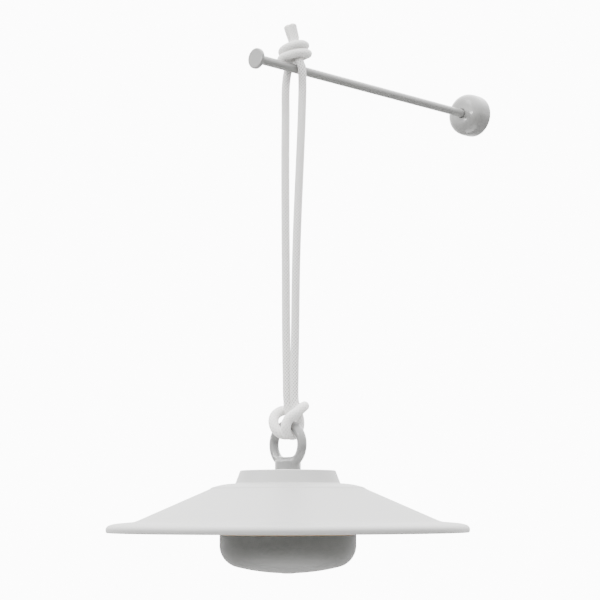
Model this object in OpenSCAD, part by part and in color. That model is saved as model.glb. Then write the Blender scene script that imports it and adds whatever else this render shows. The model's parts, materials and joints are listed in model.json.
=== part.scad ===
// Hanging lamp on a wall arm: a knotted rope holds a wide flat shade with a battery body below it.
// Millimetres. Z is up, the wall is the plane y = 0, the arm runs along -Y, its axis is x = 0, z = 0.

/* [Wall arm] */
// Distance from the wall to the outer face of the end disc
arm_reach = 334; // [310:1:420]
// Diameter of the arm rod
rod_d = 8.8; // [7.4:0.1:9.4]
// Diameter of the end disc
tip_d = 20; // [14:0.5:32]
// Thickness of the end disc
tip_t = 4; // [3:0.1:8]
// Diameter of the wall plate
plate_d = 38; // [35:0.5:38]
// Thickness of the wall plate
plate_t = 5; // [4.4:0.1:6]
// Diameter of the two wall screw holes
wall_screw_d = 4.5; // [3:0.1:5]
// Distance between the two wall screw holes
wall_screw_pitch = 26; // [24:0.5:27]

/* [Wall cover] */
// Largest diameter of the wall cover
cover_d = 45.2; // [44:0.2:60]
// Depth of the wall cover from the wall to its front
cover_h = 23.5; // [21:0.5:36]
// Wall thickness of the cover
cover_t = 2; // [1.2:0.1:2.4]
// Diameter of the hole in the cover that the rod passes through
cover_bore = 10; // [9.6:0.1:13]

/* [Rope] */
// Diameter of the rope
rope_d = 7.6; // [6.6:0.1:8.4]
// Distance from the wall to the axis that the lamp hangs on
hang_reach = 290; // [240:1:300]
// Height from the bottom edge of the shade to the rod axis
drop = 448.6; // [400:1:700]

/* [Eye bolt] */
// Radius of the centre line of the eye
eye_r = 18.7; // [17.5:0.1:22]
// Diameter of the eye's round section
wire_d = 9.1; // [7.5:0.1:11]
// Diameter of the collar under the eye
collar_d = 24.6; // [20:0.2:26]
// Height of the collar
collar_h = 8; // [4:0.2:10]
// Diameter of the spacer between collar and shade
spacer_d = 26; // [22:0.2:34]
// Height of the spacer
spacer_h = 1; // [1:0.2:6]
// Diameter of the bolt shank
bolt_d = 7.9; // [5.9:0.1:7.9]

/* [Shade] */
// Outer diameter of the shade
shade_d = 340; // [280:2:420]
// Height of the shade from its lower edge to the top of its raised cap
shade_h = 57.9; // [57:0.1:64]
// Sheet thickness of the shade
shade_t = 2; // [1.2:0.1:2.4]

/* [Lamp body] */
// Diameter of the round body
body_d = 128.4; // [126:0.4:136]
// Depth of the body below the lower edge of the shade
body_h = 37.8; // [36.6:0.1:44]
// Wall thickness of the body
body_t = 2.5; // [2:0.1:3]
// Diameter of the neck between body and shade
neck_d = 50; // [46:0.5:54]
// Wall thickness of the neck
neck_t = 3; // [2.5:0.1:4]
// Thickness of the plate that closes the body
plate2_t = 2.5; // [2:0.1:3]
// Thickness of the circuit boards
board_t = 1.6; // [1:0.1:1.6]
// Number of light chips on the ring board
chip_n = 24; // [8:1:30]

/* [Power and controls] */
// Diameter of one battery cell
cell_d = 18.4; // [16:0.1:18.5]
// Length of one battery cell
cell_l = 65; // [60:0.5:66]
// Diameter of the push button
button_d = 12; // [10:0.5:18]
// How far the push button stands out of the body
button_out = 0.3; // [0.3:0.1:2]

/* [Hidden] */

$fn = 96;
// Smallest distance that holds two shapes together in a cut
e = 0.01;
// Radial clearance of a rod or screw in its hole
fit = 0.05;
// Clearance round a part that lies loose in its pocket
loose = 0.2;

// The lamp hangs on the vertical axis x = 0, y = lamp_y, and heights count from the shade's lower edge
lamp_y = -hang_reach;
base_z = -drop;

// Heights on the lamp axis
cap_top = shade_h;
cap_low = cap_top - shade_t;
gasket_t = 1.5;
deck_top = cap_low - gasket_t;
deck_t = 3;
collar_low = cap_top + spacer_h;
collar_top = collar_low + collar_h;
// The eye's centre stands this far over the top of its collar
eye_up = 15.1;
eye_h = collar_top + eye_up * eye_r / 18.4;
bar_h = eye_h + eye_r;
body_r = body_d / 2;
rim_h = -2.4;
plate_low = rim_h - plate2_t;
ledge_w = 2.2;
ledge_t = 2;
seal_t = 0.8;

// Turns a profile of radius and height pairs into a shell line that lies t inside it
function seg_n(p, q) = let (d = q - p) [d[1], -d[0]] / norm(d);
function inset(p, t) = [for (i = [0 : len(p) - 1]) let (
    n1 = seg_n(p[max(i - 1, 0)], p[max(i, 1)]),
    n2 = seg_n(p[min(i, len(p) - 2)], p[min(i + 1, len(p) - 1)]))
    p[i] - t * (n1 + n2) / (1 + n1 * n2)];
function flip(p) = [for (i = [len(p) - 1 : -1 : 0]) p[i]];
function arc(c, r, a0, a1, n) = [for (i = [0 : n]) let (a = a0 + (a1 - a0) * i / n)
    c + r * [cos(a), sin(a)]];

// Wall cover: a boxy dome, given as radius and distance from the wall
cover_r = cover_d / 2;
cover_wide = 6.4;
cover_pow = 3.8;
cover_gap = 0.4;
cover_line = concat([[cover_r - 0.35, cover_gap], [cover_r - 0.1, 3]],
    [for (i = [0 : 20])
        let (u = 0.985 * sin(i * 4.5), r = cover_r * pow(1 - pow(u, cover_pow), 1 / cover_pow))
        if (r > cover_bore / 2 + 0.5) [r, cover_wide + (cover_h - cover_wide) * u]]);
cover_last = cover_line[len(cover_line) - 1];
cover_edge = concat(cover_line, [[cover_bore / 2, cover_h]]);

// Wall plate
boss_d = 16;
boss_l = 16;
rod_in = 2;
ring_w = 1.5;
ring_out = 0.7;
tip_in = 2;

// Shade: radius and height of the outer line, from the lower edge in to the cap
sr = shade_d / 340;
sh = shade_h / 57.9;
shade_out = [for (p = [[169, 0], [169.7, 0.6], [170, 2], [170, 3.6], [169.6, 4.8], [168.6, 6], [167, 7],
    [164.5, 7.8], [161, 8.5], [155, 9.1], [149, 9.6], [145.2, 9.95], [142.8, 10.5], [140.2, 11.4],
    [75.2, 39.8], [73.6, 40.6], [71.8, 41.9], [69, 42.8], [66.2, 43.5], [63.4, 44.2], [60.6, 44.7],
    [57.8, 45.1], [54.9, 45.4], [49.5, 45.7], [45.4, 56.4], [44.6, 57.5], [43.3, 57.9]])
    [p[0] * sr, p[1] * sh]];
shade_in = inset(shade_out, shade_t);

// Body bowl: side, rounded corner and shallow dome
corner_r = 21;
corner_h = -11.5;
corner_x = body_r - corner_r;
// The dome's radius follows from the depth of the bowl, and both curves meet with no kink
dome_r = (pow(corner_x, 2) + pow(body_h + corner_h, 2) - pow(corner_r, 2))
    / (2 * (body_h + corner_h - corner_r));
dome_h = dome_r - body_h;
meet_a = asin(corner_x / (dome_r - corner_r));
function bowl_line(t, top) = concat([[body_r - t, top]],
    arc([corner_x, corner_h], corner_r - t, 0, -90 + meet_a, 14),
    [for (i = [1 : 10]) let (a = meet_a * (1 - i / 10))
        [(dome_r - t) * sin(a), dome_h - (dome_r - t) * cos(a)]]);

// Power parts inside the bowl
cell_gap = 2;
cell_y = (cell_d + cell_gap) / 2;
cell_top = plate_low - 2.9;
cell_h = cell_top - cell_d / 2;
cradle_low = cell_h - 6;
cradle_x = cell_l + 7;
cradle_y = 2 * cell_y + cell_d + 5;
board_top = cell_top - cell_d - 1;
board_low = board_top - board_t;
board_x = 60;
board_y = 34;
post_x = board_x / 2 - 8;
switch_h = 3.3;
plunger_h = 0.6;
flange_t = 1.2;
flange_d = button_d + 4;
// Distance that the button can be pressed, and what is left in front of the switch then
press = 0.6;
flange_low = -body_h + body_t + 0.7;

// Charging socket in the wall of the bowl, on the side toward the wall plate
port_h = -8;
port_w = 9.2;
port_t = 3.4;
hole_w = 10.8;
hole_t = 5.2;
flap_pin_y = body_r + 1.5;
flap_pin_h = port_h - 6.6;
pin_d = 1.2;
pin_l = 12.4;

// Screws
neck_screw_r = neck_d / 2 - neck_t - 3;
neck_screw_d = 3;
bowl_screw_d = 2.6;
bowl_head_d = 4.8;
// The bowl's screws stand inside the seal and outside the ring board, each with this gap
seal_in = 0.2;
seal_w = 3.2;
seal_gap = 2.4;
board_gap = 1.6;
bowl_screw_r = body_r - seal_in - seal_w - seal_gap - bowl_head_d / 2;
led_r1 = neck_d / 2 + 8;
led_r2 = bowl_screw_r - bowl_head_d / 2 - board_gap;

// Rope route. The top knot is given as right, away and up from the rod, turned by 45 degrees
knot_k = max(rope_d / 7.6, (rod_d + rope_d) / 16.4);
knot_turn = 45;
knot_y = lamp_y + 10;
knot_front = [[-3, -3, 44.5], [-1.4, -2.6, 37], [0, -2, 29], [-1.6, -1.4, 22.4], [-3, -0.4, 17],
    [-3.8, 0.8, 13.2], [-4.8, 4.4, 10.4], [-8.4, 6.2, 9.2], [-12, 4.2, 8.6], [-13, -0.8, 8.8],
    [-11.2, -5.6, 9.6], [-6.5, -9, 10.8], [1, -10.5, 12.6], [8.5, -8, 14], [12, -2.5, 14.6],
    [12.6, 2.6, 15.6], [11, 6.4, 15.8], [8, 8.4, 15], [4.8, 6.8, 12.6], [3.8, 2.8, 10],
    [4.4, -1.8, 7.4], [5.8, -4.7, 3.8], [6.8, -5.6, 0], [7.1, -5.5, -4]];
knot_back = [[-7.4, 4.8, 45.5], [-4.6, 6, 37], [-2, 8.4, 28.4], [-4.6, 10.8, 21.4], [-9.4, 9.6, 17.8],
    [-12, 3.6, 17], [-11, -3.2, 17.8], [-6.5, -8.6, 19.2], [0, -10.4, 21], [6.5, -7.9, 22.4],
    [9.8, -1.4, 23], [9.4, 5.4, 24.2], [6.8, 11.4, 23.4], [2.4, 15.2, 19], [-2.2, 15.8, 13],
    [-4.6, 13.4, 6.4], [-6.2, 9.8, 1.6], [-7.4, 6.4, -4]];
// Both strands, as x, y from the lamp axis, and the share of the way down to the hitch
strand_right = [[7.8, 12.6, 0], [7.8, 11.5, 0.11], [7.8, 9.1, 0.26], [7.9, 5.4, 0.47], [7.9, 3.4, 0.63],
    [7.5, 2.4, 0.86], [6.8, 2.2, 1]];
strand_left = [[-8.3, 5.8, 0], [-7.6, 4.8, 0.11], [-6.8, 3.6, 0.26], [-6, 3, 0.47], [-5.4, 2.8, 0.63],
    [-4.6, 2.4, 0.86], [-3.6, 2.2, 1]];
// The hitch, as x, y and height from the centre of the eye's top bar
hitch_k = max(rope_d / 7.6, (wire_d + rope_d) / 16.7);
hitch_right = [[6.4, 2.6, 23.6], [6.3, 5, 14.6], [6.2, 8.8, 5.6], [5.4, 9.8, -1.4], [4.9, 6.6, -8.4],
    [4.7, 0, -9.8], [5, -6.6, -7.8], [6.8, -9.6, -2.4], [8.6, -8.8, 3.4], [11.8, -6.4, 7.6],
    [15, -2, 11.6], [16, 3.6, 15.6], [13.4, 8.8, 17.4], [8.4, 12.8, 17.2], [0, 14, 16]];
hitch_left = [[-3.2, 2.6, 23.6], [-3.4, 5, 14.6], [-3.6, 8.8, 5.6], [-3.6, 9.8, -1.4], [-3.4, 6.6, -7.8],
    [-3.5, 0, -9.2], [-4, -6.4, -8], [-6.6, -9.4, -4.4], [-10.6, -8.6, 2.4], [-13.4, -4, 8.8],
    [-13.6, 3.4, 13.2], [-11, 10.4, 15], [-5.4, 13.8, 15.6]];

function knot_at(p) = let (q = p * knot_k) [q[0] * cos(knot_turn) - q[1] * sin(knot_turn),
    q[0] * sin(knot_turn) + q[1] * cos(knot_turn) + knot_y, q[2]];
strand_top = -18;
// Height of the strands' lower end over the eye's top bar
strand_up = 48.2;
strand_low = base_z + bar_h + strand_up;
function strand_at(p) = [p[0] * knot_k, lamp_y + p[1], strand_top + (strand_low - strand_top) * p[2]];
function hitch_at(p) = [p[0], p[1], p[2]] * hitch_k + [0, lamp_y, base_z + bar_h];
route_a = [for (p = knot_front) knot_at(p)];
route_b = [for (p = flip(knot_back)) knot_at(p)];
route_loop = concat([for (p = strand_right) strand_at(p)], [for (p = hitch_right) hitch_at(p)],
    [for (p = flip(hitch_left)) hitch_at(p)], [for (p = flip(strand_left)) strand_at(p)]);
route = concat(route_a, route_loop, route_b);

// One point of a smooth curve through four route points
function mix2(p, q, t, t0, t1) = ((t1 - t) * p + (t - t0) * q) / (t1 - t0);
function curve_at(p0, p1, p2, p3, u) = let (
    t1 = sqrt(norm(p1 - p0)), t2 = t1 + sqrt(norm(p2 - p1)), t3 = t2 + sqrt(norm(p3 - p2)),
    t = t1 + (t2 - t1) * u,
    a = mix2(p0, p1, t, 0, t1), b = mix2(p1, p2, t, t1, t2), c = mix2(p2, p3, t, t2, t3),
    d = mix2(a, b, t, 0, t2), f = mix2(b, c, t, t1, t3)) mix2(d, f, t, t1, t2);
steps = 2;
function smooth(p) = concat([for (i = [0 : len(p) - 2], k = [0 : steps - 1])
    let (a = i > 0 ? p[i - 1] : 2 * p[0] - p[1],
        b = i < len(p) - 2 ? p[i + 2] : 2 * p[i + 1] - p[i])
    curve_at(a, p[i], p[i + 1], b, k / steps)], [p[len(p) - 1]]);
rope_line = smooth(route);
rope_dirs = [for (i = [0 : len(rope_line) - 1]) dir_at(rope_line, i)];
cut_a = (len(route_a) - 1) * steps;
cut_b = (len(route_a) + len(route_loop)) * steps;
// Gap at each place where the knot half and the hanging half of the rope meet
seam = 0.4;
function part_of(p, i, j) = [for (k = [i : j]) p[k]];
function trim_ends(p, s0, s1) = let (n = len(p) - 1) concat(
    [p[0] + s0 * (p[1] - p[0]) / norm(p[1] - p[0])], part_of(p, 1, n - 1),
    [p[n] + s1 * (p[n - 1] - p[n]) / norm(p[n - 1] - p[n])]);

// Rings along a line, each turned as little as possible from the one before
rope_sides = 10;
function dir_at(p, i) = let (d = p[min(i + 1, len(p) - 1)] - p[max(i - 1, 0)]) d / norm(d);
function across(u, t) = let (v = u - (u * t) * t) v / norm(v);
function frames(t) = [for (i = 0, u = across([0.31, 0.87, 0.42], t[0]); i < len(t);
    i = i + 1, u = i < len(t) ? across(u, t[i]) : u) u];
function tube_points(p, t, r) = let (f = frames(t)) [for (i = [0 : len(p) - 1], k = [0 : rope_sides - 1])
    let (a = 360 * k / rope_sides) p[i] + r * (cos(a) * f[i] + sin(a) * cross(t[i], f[i]))];
function tube_faces(n) = concat([[for (k = [0 : rope_sides - 1]) k]],
    [for (i = [0 : n - 2], k = [0 : rope_sides - 1]) let (a = i * rope_sides, b = (k + 1) % rope_sides)
        [a + k, a + rope_sides + k, a + rope_sides + b, a + b]],
    [[for (k = [rope_sides - 1 : -1 : 0]) (n - 1) * rope_sides + k]]);

// Least gap of the rope to itself, over points more than two diameters apart along it
sums = [for (i = 0, s = 0; i < len(rope_line);
    i = i + 1, s = i < len(rope_line) ? s + norm(rope_line[i] - rope_line[i - 1]) : s) s];
gap_self = min([for (i = [0 : len(rope_line) - 1], j = [i + 1 : 1 : len(rope_line) - 1])
    if (sums[j] - sums[i] > 2 * rope_d) norm(rope_line[i] - rope_line[j])]) - rope_d;
echo("rope length", sums[len(sums) - 1], "least gap of the rope to itself", gap_self);

// A tube along part of a line. The directions come from the whole line, so that cut ends stay parallel
module tube(p, t) {
    polyhedron(points = tube_points(p, t, rope_d / 2), faces = tube_faces(len(p)), convexity = 12);
}

// Places shapes drawn round the z axis, with heights from the shade's lower edge, on the lamp axis
module on_lamp() {
    translate([0, lamp_y, base_z]) children();
}

// Turns shapes drawn round the z axis so that z becomes the distance from the wall
module on_wall() {
    rotate([90, 0, 0]) children();
}

module wall_plate() color([0.6, 0.6, 0.61]) on_wall() {
    difference() {
        union() {
            cylinder(h = plate_t, d = plate_d);
            cylinder(h = boss_l, d = boss_d);
        }
        translate([0, 0, rod_in]) cylinder(h = boss_l, d = rod_d + 2 * fit);
        for (s = [-1, 1])
            translate([0, s * wall_screw_pitch / 2, -1]) cylinder(h = plate_t + 2, d = wall_screw_d);
        translate([0, 0, (plate_t - ring_w) / 2]) difference() {
            cylinder(h = ring_w, d = plate_d + 2);
            translate([0, 0, -1]) cylinder(h = ring_w + 2, d = plate_d - 2 * ring_w + 2 * ring_out);
        }
    }
}

module cover_grip_ring() color([0.1, 0.1, 0.1]) on_wall() {
    translate([0, 0, (plate_t - ring_w) / 2]) difference() {
        cylinder(h = ring_w, d = plate_d + 2 * ring_out);
        translate([0, 0, -1]) cylinder(h = ring_w + 2, d = plate_d - 2 * ring_w + 2 * ring_out);
    }
}

module arm_rod() color([0.7, 0.7, 0.68]) on_wall() {
    translate([0, 0, rod_in]) cylinder(h = arm_reach - tip_t + tip_in - rod_in, d = rod_d);
}

module arm_end_disc() color([0.7, 0.7, 0.68]) on_wall() {
    difference() {
        rotate_extrude() polygon(concat([[0, arm_reach - tip_t]],
            arc([tip_d / 2 - 1, arm_reach - tip_t + 1], 1, -90, 0, 5),
            arc([tip_d / 2 - 1, arm_reach - 1], 1, 0, 90, 5), [[0, arm_reach]]));
        translate([0, 0, arm_reach - tip_t - 1]) cylinder(h = tip_in + 1, d = rod_d + 2 * fit);
    }
}

module wall_cover() color([0.7, 0.7, 0.68]) on_wall() {
    difference() {
        rotate_extrude() polygon(concat([[0, cover_gap]], cover_line, [[0, cover_last[1]]]));
        rotate_extrude() polygon(concat([[0, cover_gap - 1], [cover_r - 0.35 - cover_t, cover_gap - 1]],
            inset(cover_line, cover_t), [[0, cover_last[1] - cover_t]]));
        cylinder(h = cover_h + 2, d = cover_bore);
    }
}

module rope_knot() color([0.88, 0.87, 0.84]) {
    tube(part_of(rope_line, 0, cut_a), part_of(rope_dirs, 0, cut_a));
    tube(part_of(rope_line, cut_b, len(rope_line) - 1), part_of(rope_dirs, cut_b, len(rope_line) - 1));
}

module rope_loop() color([0.88, 0.87, 0.84]) {
    tube(trim_ends(part_of(rope_line, cut_a, cut_b), seam, seam), part_of(rope_dirs, cut_a, cut_b));
}

module eye_bolt() color([0.7, 0.7, 0.68]) on_lamp() {
    difference() {
        union() {
            translate([0, 0, eye_h]) rotate([90, 0, 0]) rotate_extrude()
                translate([eye_r, 0]) circle(d = wire_d);
            translate([0, 0, collar_low]) cylinder(h = collar_h, d = collar_d);
            translate([0, 0, collar_low + 1]) intersection() {
                translate([0, 0, eye_h - collar_low - 1]) rotate([90, 0, 0])
                    cylinder(h = wire_d - 2, r = eye_r, center = true);
                translate([-eye_r, -eye_r, 0]) cube([2 * eye_r, 2 * eye_r, collar_h + 2.6]);
            }
        }
        translate([0, 0, collar_low - 30]) cylinder(h = 30, r = 3 * eye_r);
    }
    translate([0, 0, deck_top - deck_t - 10]) cylinder(h = collar_low - deck_top + deck_t + 11, d = bolt_d);
}

module eye_spacer() color([0.85, 0.85, 0.83]) on_lamp() {
    translate([0, 0, cap_top]) difference() {
        cylinder(h = spacer_h, d = spacer_d);
        translate([0, 0, -1]) cylinder(h = spacer_h + 2, d = bolt_d + 2 * fit);
    }
}

module shade() color([0.87, 0.87, 0.86]) on_lamp() {
    difference() {
        rotate_extrude() polygon(concat([[0, 0]], shade_out, [[0, cap_top]]));
        rotate_extrude() polygon(concat([[0, -1], [shade_in[0][0], -1]], shade_in, [[0, cap_low]]));
        translate([0, 0, cap_low - 1]) cylinder(h = shade_t + 2, d = bolt_d + 2 * fit);
    }
}

module shade_gasket() color([0.12, 0.12, 0.12]) on_lamp() {
    translate([0, 0, deck_top]) difference() {
        cylinder(h = gasket_t, d = neck_d - 6);
        translate([0, 0, -1]) cylinder(h = gasket_t + 2, d = bolt_d + 2 * fit);
    }
}

neck_ring_h = 14;

module upper_housing() color([0.5, 0.5, 0.48]) on_lamp() {
    difference() {
        union() {
            difference() {
                translate([0, 0, rim_h]) cylinder(h = deck_top - rim_h, d = neck_d);
                translate([0, 0, rim_h - 1])
                    cylinder(h = deck_top - deck_t - rim_h + 1, d = neck_d - 2 * neck_t);
            }
            translate([0, 0, neck_ring_h]) difference() {
                cylinder(h = 2, d = neck_d + 6);
                translate([0, 0, -1]) cylinder(h = 4, d = neck_d - neck_t);
            }
            for (a = [90, 210, 330]) rotate(a) translate([neck_screw_r, 0, rim_h]) {
                cylinder(h = 12, d = 7);
                translate([0, -3.5, 0]) cube([4.5, 7, 12]);
            }
        }
        translate([0, 0, deck_top - deck_t - 1]) cylinder(h = deck_t + 2, d = bolt_d + 2 * fit);
        for (a = [90, 210, 330]) rotate(a) translate([neck_screw_r, 0, rim_h - 1])
            cylinder(h = 10, d = neck_screw_d + 2 * fit);
    }
}

module eye_nut() color([0.62, 0.62, 0.62]) on_lamp() {
    translate([0, 0, deck_top - deck_t - 6.5]) difference() {
        cylinder(h = 6.5, d = 15, $fn = 6);
        translate([0, 0, -1]) cylinder(h = 9, d = bolt_d + 2 * fit);
    }
}

module heat_plate() color([0.75, 0.75, 0.76]) on_lamp() {
    difference() {
        translate([0, 0, plate_low]) cylinder(h = plate2_t, r = body_r - body_t - loose);
        translate([0, 0, plate_low - 1]) cylinder(h = plate2_t + 2, d = 12);
        for (a = [90, 210, 330]) rotate(a) translate([neck_screw_r, 0, plate_low - 1])
            cylinder(h = plate2_t + 2, d = neck_screw_d + 2 * fit);
        for (a = [30, 150, 270]) rotate(a) translate([bowl_screw_r, 0, plate_low - 1])
            cylinder(h = plate2_t + 2, d = bowl_screw_d + 2 * fit);
    }
}

module led_board() color([0.92, 0.92, 0.9]) on_lamp() {
    translate([0, 0, rim_h]) difference() {
        cylinder(h = board_t, r = led_r2);
        translate([0, 0, -1]) cylinder(h = board_t + 2, r = led_r1);
    }
}

module led_chips() color([0.95, 0.85, 0.45]) on_lamp() {
    for (i = [0 : chip_n - 1]) rotate(i * 360 / chip_n)
        translate([(led_r1 + led_r2) / 2 - 1.4, -1.75, rim_h + board_t]) cube([2.8, 3.5, 0.8]);
}

// The cover ring over the light chips, from its foot on the bowl's rim in to the neck
lens_in = neck_d / 2 + loose;
lens_out = [[body_r - 0.6, seal_t + rim_h], [body_r - 0.6, 2], [body_r - 1.6, 4], [body_r - 4.4, 6.2],
    [body_r - 9, 8.6], [body_r - 16, 11.2], [body_r - 24, 13.2], [body_r - 30, neck_ring_h]];

module diffuser_ring() color([0.96, 0.92, 0.82]) on_lamp() {
    difference() {
        rotate_extrude() polygon(concat([[0, lens_out[0][1]]], lens_out, [[0, neck_ring_h]]));
        rotate_extrude() polygon(concat([[0, -5], [body_r - 3, -5]], inset(lens_out, 2.4),
            [[0, neck_ring_h - 2.4]]));
        cylinder(h = neck_ring_h + 1, r = lens_in);
    }
}

module housing_screws() color([0.6, 0.6, 0.6]) on_lamp() {
    for (a = [90, 210, 330]) rotate(a) translate([neck_screw_r, 0, plate_low]) {
        translate([0, 0, -2]) cylinder(h = 2, d = 5.6);
        translate([0, 0, -e]) cylinder(h = plate2_t + 7, d = neck_screw_d);
    }
}

module bowl_screws() color([0.6, 0.6, 0.6]) on_lamp() {
    for (a = [30, 150, 270]) rotate(a) translate([bowl_screw_r, 0, rim_h]) {
        cylinder(h = 1.6, d = bowl_head_d);
        translate([0, 0, -plate2_t - 6]) cylinder(h = plate2_t + 6 + e, d = bowl_screw_d);
    }
}

module housing_seal() color([0.95, 0.8, 0.55]) on_lamp() {
    translate([0, 0, rim_h]) difference() {
        cylinder(h = seal_t, r = body_r - seal_in);
        translate([0, 0, -1]) cylinder(h = seal_t + 2, r = body_r - seal_in - seal_w);
    }
}

module battery_cells() color([0.2, 0.42, 0.62]) on_lamp() {
    for (s = [-1, 1]) translate([-cell_l / 2, s * cell_y, cell_h]) rotate([0, 90, 0])
        cylinder(h = cell_l, d = cell_d);
}

module battery_cradle() color([0.15, 0.15, 0.16]) on_lamp() {
    difference() {
        union() {
            translate([-cradle_x / 2, -cradle_y / 2, cradle_low])
                cube([cradle_x, cradle_y, plate_low - cradle_low]);
            for (s = [-1, 1]) translate([s * post_x, 0, board_top])
                cylinder(h = cradle_low - board_top + 1, d = 5);
        }
        for (s = [-1, 1]) translate([-cell_l / 2 - loose, s * cell_y, cell_h]) rotate([0, 90, 0])
            cylinder(h = cell_l + 2 * loose, d = cell_d + 2 * loose);
        for (a = [90, 210, 330]) rotate(a) translate([neck_screw_r, 0, plate_low - 3])
            cylinder(h = 4, d = 7);
    }
}

module control_board() color([0.1, 0.4, 0.22]) on_lamp() {
    translate([-board_x / 2, -board_y / 2, board_low]) cube([board_x, board_y, board_t]);
}

module button_switch() color([0.25, 0.25, 0.26]) on_lamp() {
    translate([-3, -3, board_low - switch_h]) cube([6, 6, switch_h]);
    translate([0, 0, board_low - switch_h - plunger_h]) cylinder(h = plunger_h + 1, d = 3.4);
}

module charge_socket() color([0.7, 0.7, 0.72]) on_lamp() {
    difference() {
        union() {
            translate([-5.5, body_r - 15, port_h + port_t / 2 - e])
                cube([11, 9, plate_low - port_h - port_t / 2 + e]);
            translate([-port_w / 2, body_r - 14, port_h - port_t / 2])
                cube([port_w, 14 - body_t - 0.9, port_t]);
        }
        translate([-port_w / 2 + 0.5, body_r - 9, port_h - port_t / 2 + 0.5])
            cube([port_w - 1, 20, port_t - 1]);
    }
    translate([-3, body_r - 9 - e, port_h - 0.35]) cube([6, 4.5, 0.7]);
}

module lower_bowl() color([0.5, 0.5, 0.48]) on_lamp() {
    difference() {
        union() {
            difference() {
                rotate_extrude() polygon(concat([[0, rim_h]], bowl_line(0, rim_h)));
                rotate_extrude() polygon(concat([[0, rim_h + 1]], bowl_line(body_t, rim_h + 1)));
            }
            translate([0, 0, plate_low - ledge_t]) difference() {
                cylinder(h = ledge_t, r = body_r - body_t + 0.4);
                translate([0, 0, -1]) cylinder(h = ledge_t + 2, r = body_r - body_t - ledge_w);
            }
            for (a = [30, 150, 270]) rotate(a) translate([bowl_screw_r, 0, plate_low - 9]) {
                cylinder(h = 8.7, d = 6.4);
                translate([0, -3, 0]) cube([body_r - body_t - bowl_screw_r + 1, 6, 8.6]);
            }
            for (s = [-1, 1]) translate([s * 5 - 1, body_r - 1, flap_pin_h - 1.3]) cube([2, 3.8, 2.6]);
        }
        for (a = [30, 150, 270]) rotate(a) translate([bowl_screw_r, 0, plate_low - 7])
            cylinder(h = 9, d = bowl_screw_d + 2 * fit);
        translate([-hole_w / 2, body_r - 6, port_h - hole_t / 2 + 0.4]) cube([hole_w, 8, hole_t]);
        translate([-7, body_r - 16, plate_low - ledge_t - 1]) cube([14, 16 - body_t, ledge_t + 2]);
        translate([-pin_l / 2 - 1, flap_pin_y, flap_pin_h]) rotate([0, 90, 0])
            cylinder(h = pin_l + 2, d = pin_d + 0.5, $fn = 24);
        translate([0, 0, -body_h - 5]) cylinder(h = 12, d = button_d + 0.6);
    }
}

module button_cap() color([0.12, 0.12, 0.13]) on_lamp() {
    translate([0, 0, -body_h - button_out])
        cylinder(h = flange_low + body_h + button_out + flange_t, d = button_d);
    translate([0, 0, flange_low]) cylinder(h = flange_t, d = flange_d);
}

module port_cover() color([0.12, 0.12, 0.13]) on_lamp() {
    translate([-7.5, body_r + 0.3, flap_pin_h + 1.8]) cube([15, 1.3, port_h + 4.6 - flap_pin_h - 1.8]);
    translate([-4.6, body_r - 0.9, port_h - 1.6]) cube([9.2, 1.4, 3.2]);
    translate([-3.5, body_r + 0.7, flap_pin_h - 0.6]) cube([7, 0.9, 3]);
    translate([-pin_l / 2, flap_pin_y, flap_pin_h]) rotate([0, 90, 0])
        cylinder(h = pin_l, d = pin_d, $fn = 24);
}

wall_plate();
cover_grip_ring();
arm_rod();
arm_end_disc();
wall_cover();
rope_knot();
rope_loop();
eye_bolt();
eye_spacer();
shade();
shade_gasket();
upper_housing();
eye_nut();
heat_plate();
led_board();
led_chips();
diffuser_ring();
housing_screws();
bowl_screws();
housing_seal();
battery_cells();
battery_cradle();
control_board();
button_switch();
charge_socket();
lower_bowl();
button_cap();
port_cover();
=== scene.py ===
"""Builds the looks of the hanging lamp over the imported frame, in metres.

The wall is the plane y = 0, the arm runs along -Y on the line x = z = 0, and +Z is up. The lamp hangs on the
vertical line x = 0, y = LAMP_Y, and a height on that line counts from the lower edge of the shade.
"""

import itertools
import json
import logging
import math
from dataclasses import dataclass, field
from enum import Enum
from typing import Callable, Dict, List, Optional, Sequence, Tuple, Union

import bpy
import numpy as np
from mathutils import Matrix, Vector

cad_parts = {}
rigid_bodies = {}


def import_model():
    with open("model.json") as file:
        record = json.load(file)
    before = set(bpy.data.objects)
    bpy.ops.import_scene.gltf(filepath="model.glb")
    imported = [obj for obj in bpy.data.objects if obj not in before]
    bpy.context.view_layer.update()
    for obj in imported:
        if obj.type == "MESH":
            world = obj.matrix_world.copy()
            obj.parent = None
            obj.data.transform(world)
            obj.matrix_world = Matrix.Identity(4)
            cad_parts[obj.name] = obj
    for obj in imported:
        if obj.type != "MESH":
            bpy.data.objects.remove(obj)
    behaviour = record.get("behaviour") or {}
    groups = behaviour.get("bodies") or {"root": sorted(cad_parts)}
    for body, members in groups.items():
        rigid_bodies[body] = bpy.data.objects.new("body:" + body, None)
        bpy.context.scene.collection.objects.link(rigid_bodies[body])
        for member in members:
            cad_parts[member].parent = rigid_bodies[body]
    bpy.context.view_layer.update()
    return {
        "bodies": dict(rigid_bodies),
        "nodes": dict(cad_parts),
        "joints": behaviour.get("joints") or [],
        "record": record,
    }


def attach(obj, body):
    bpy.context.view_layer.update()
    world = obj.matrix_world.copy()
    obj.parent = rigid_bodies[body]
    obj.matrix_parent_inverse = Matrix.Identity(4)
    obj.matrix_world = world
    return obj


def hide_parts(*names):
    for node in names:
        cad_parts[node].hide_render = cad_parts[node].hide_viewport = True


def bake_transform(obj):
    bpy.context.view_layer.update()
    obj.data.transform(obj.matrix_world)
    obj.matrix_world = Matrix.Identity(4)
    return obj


LOG = logging.getLogger("lamp")
MM = 0.001
LAMP_Y = -290.0
BASE_Z = -448.6

Colour = Tuple[float, float, float]
Pair = Tuple[float, float]
Triple = Tuple[float, float, float]
Index = Union[int, np.ndarray]
Placing = Callable[[np.ndarray], np.ndarray]
Distance = Callable[[np.ndarray], np.ndarray]


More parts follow.
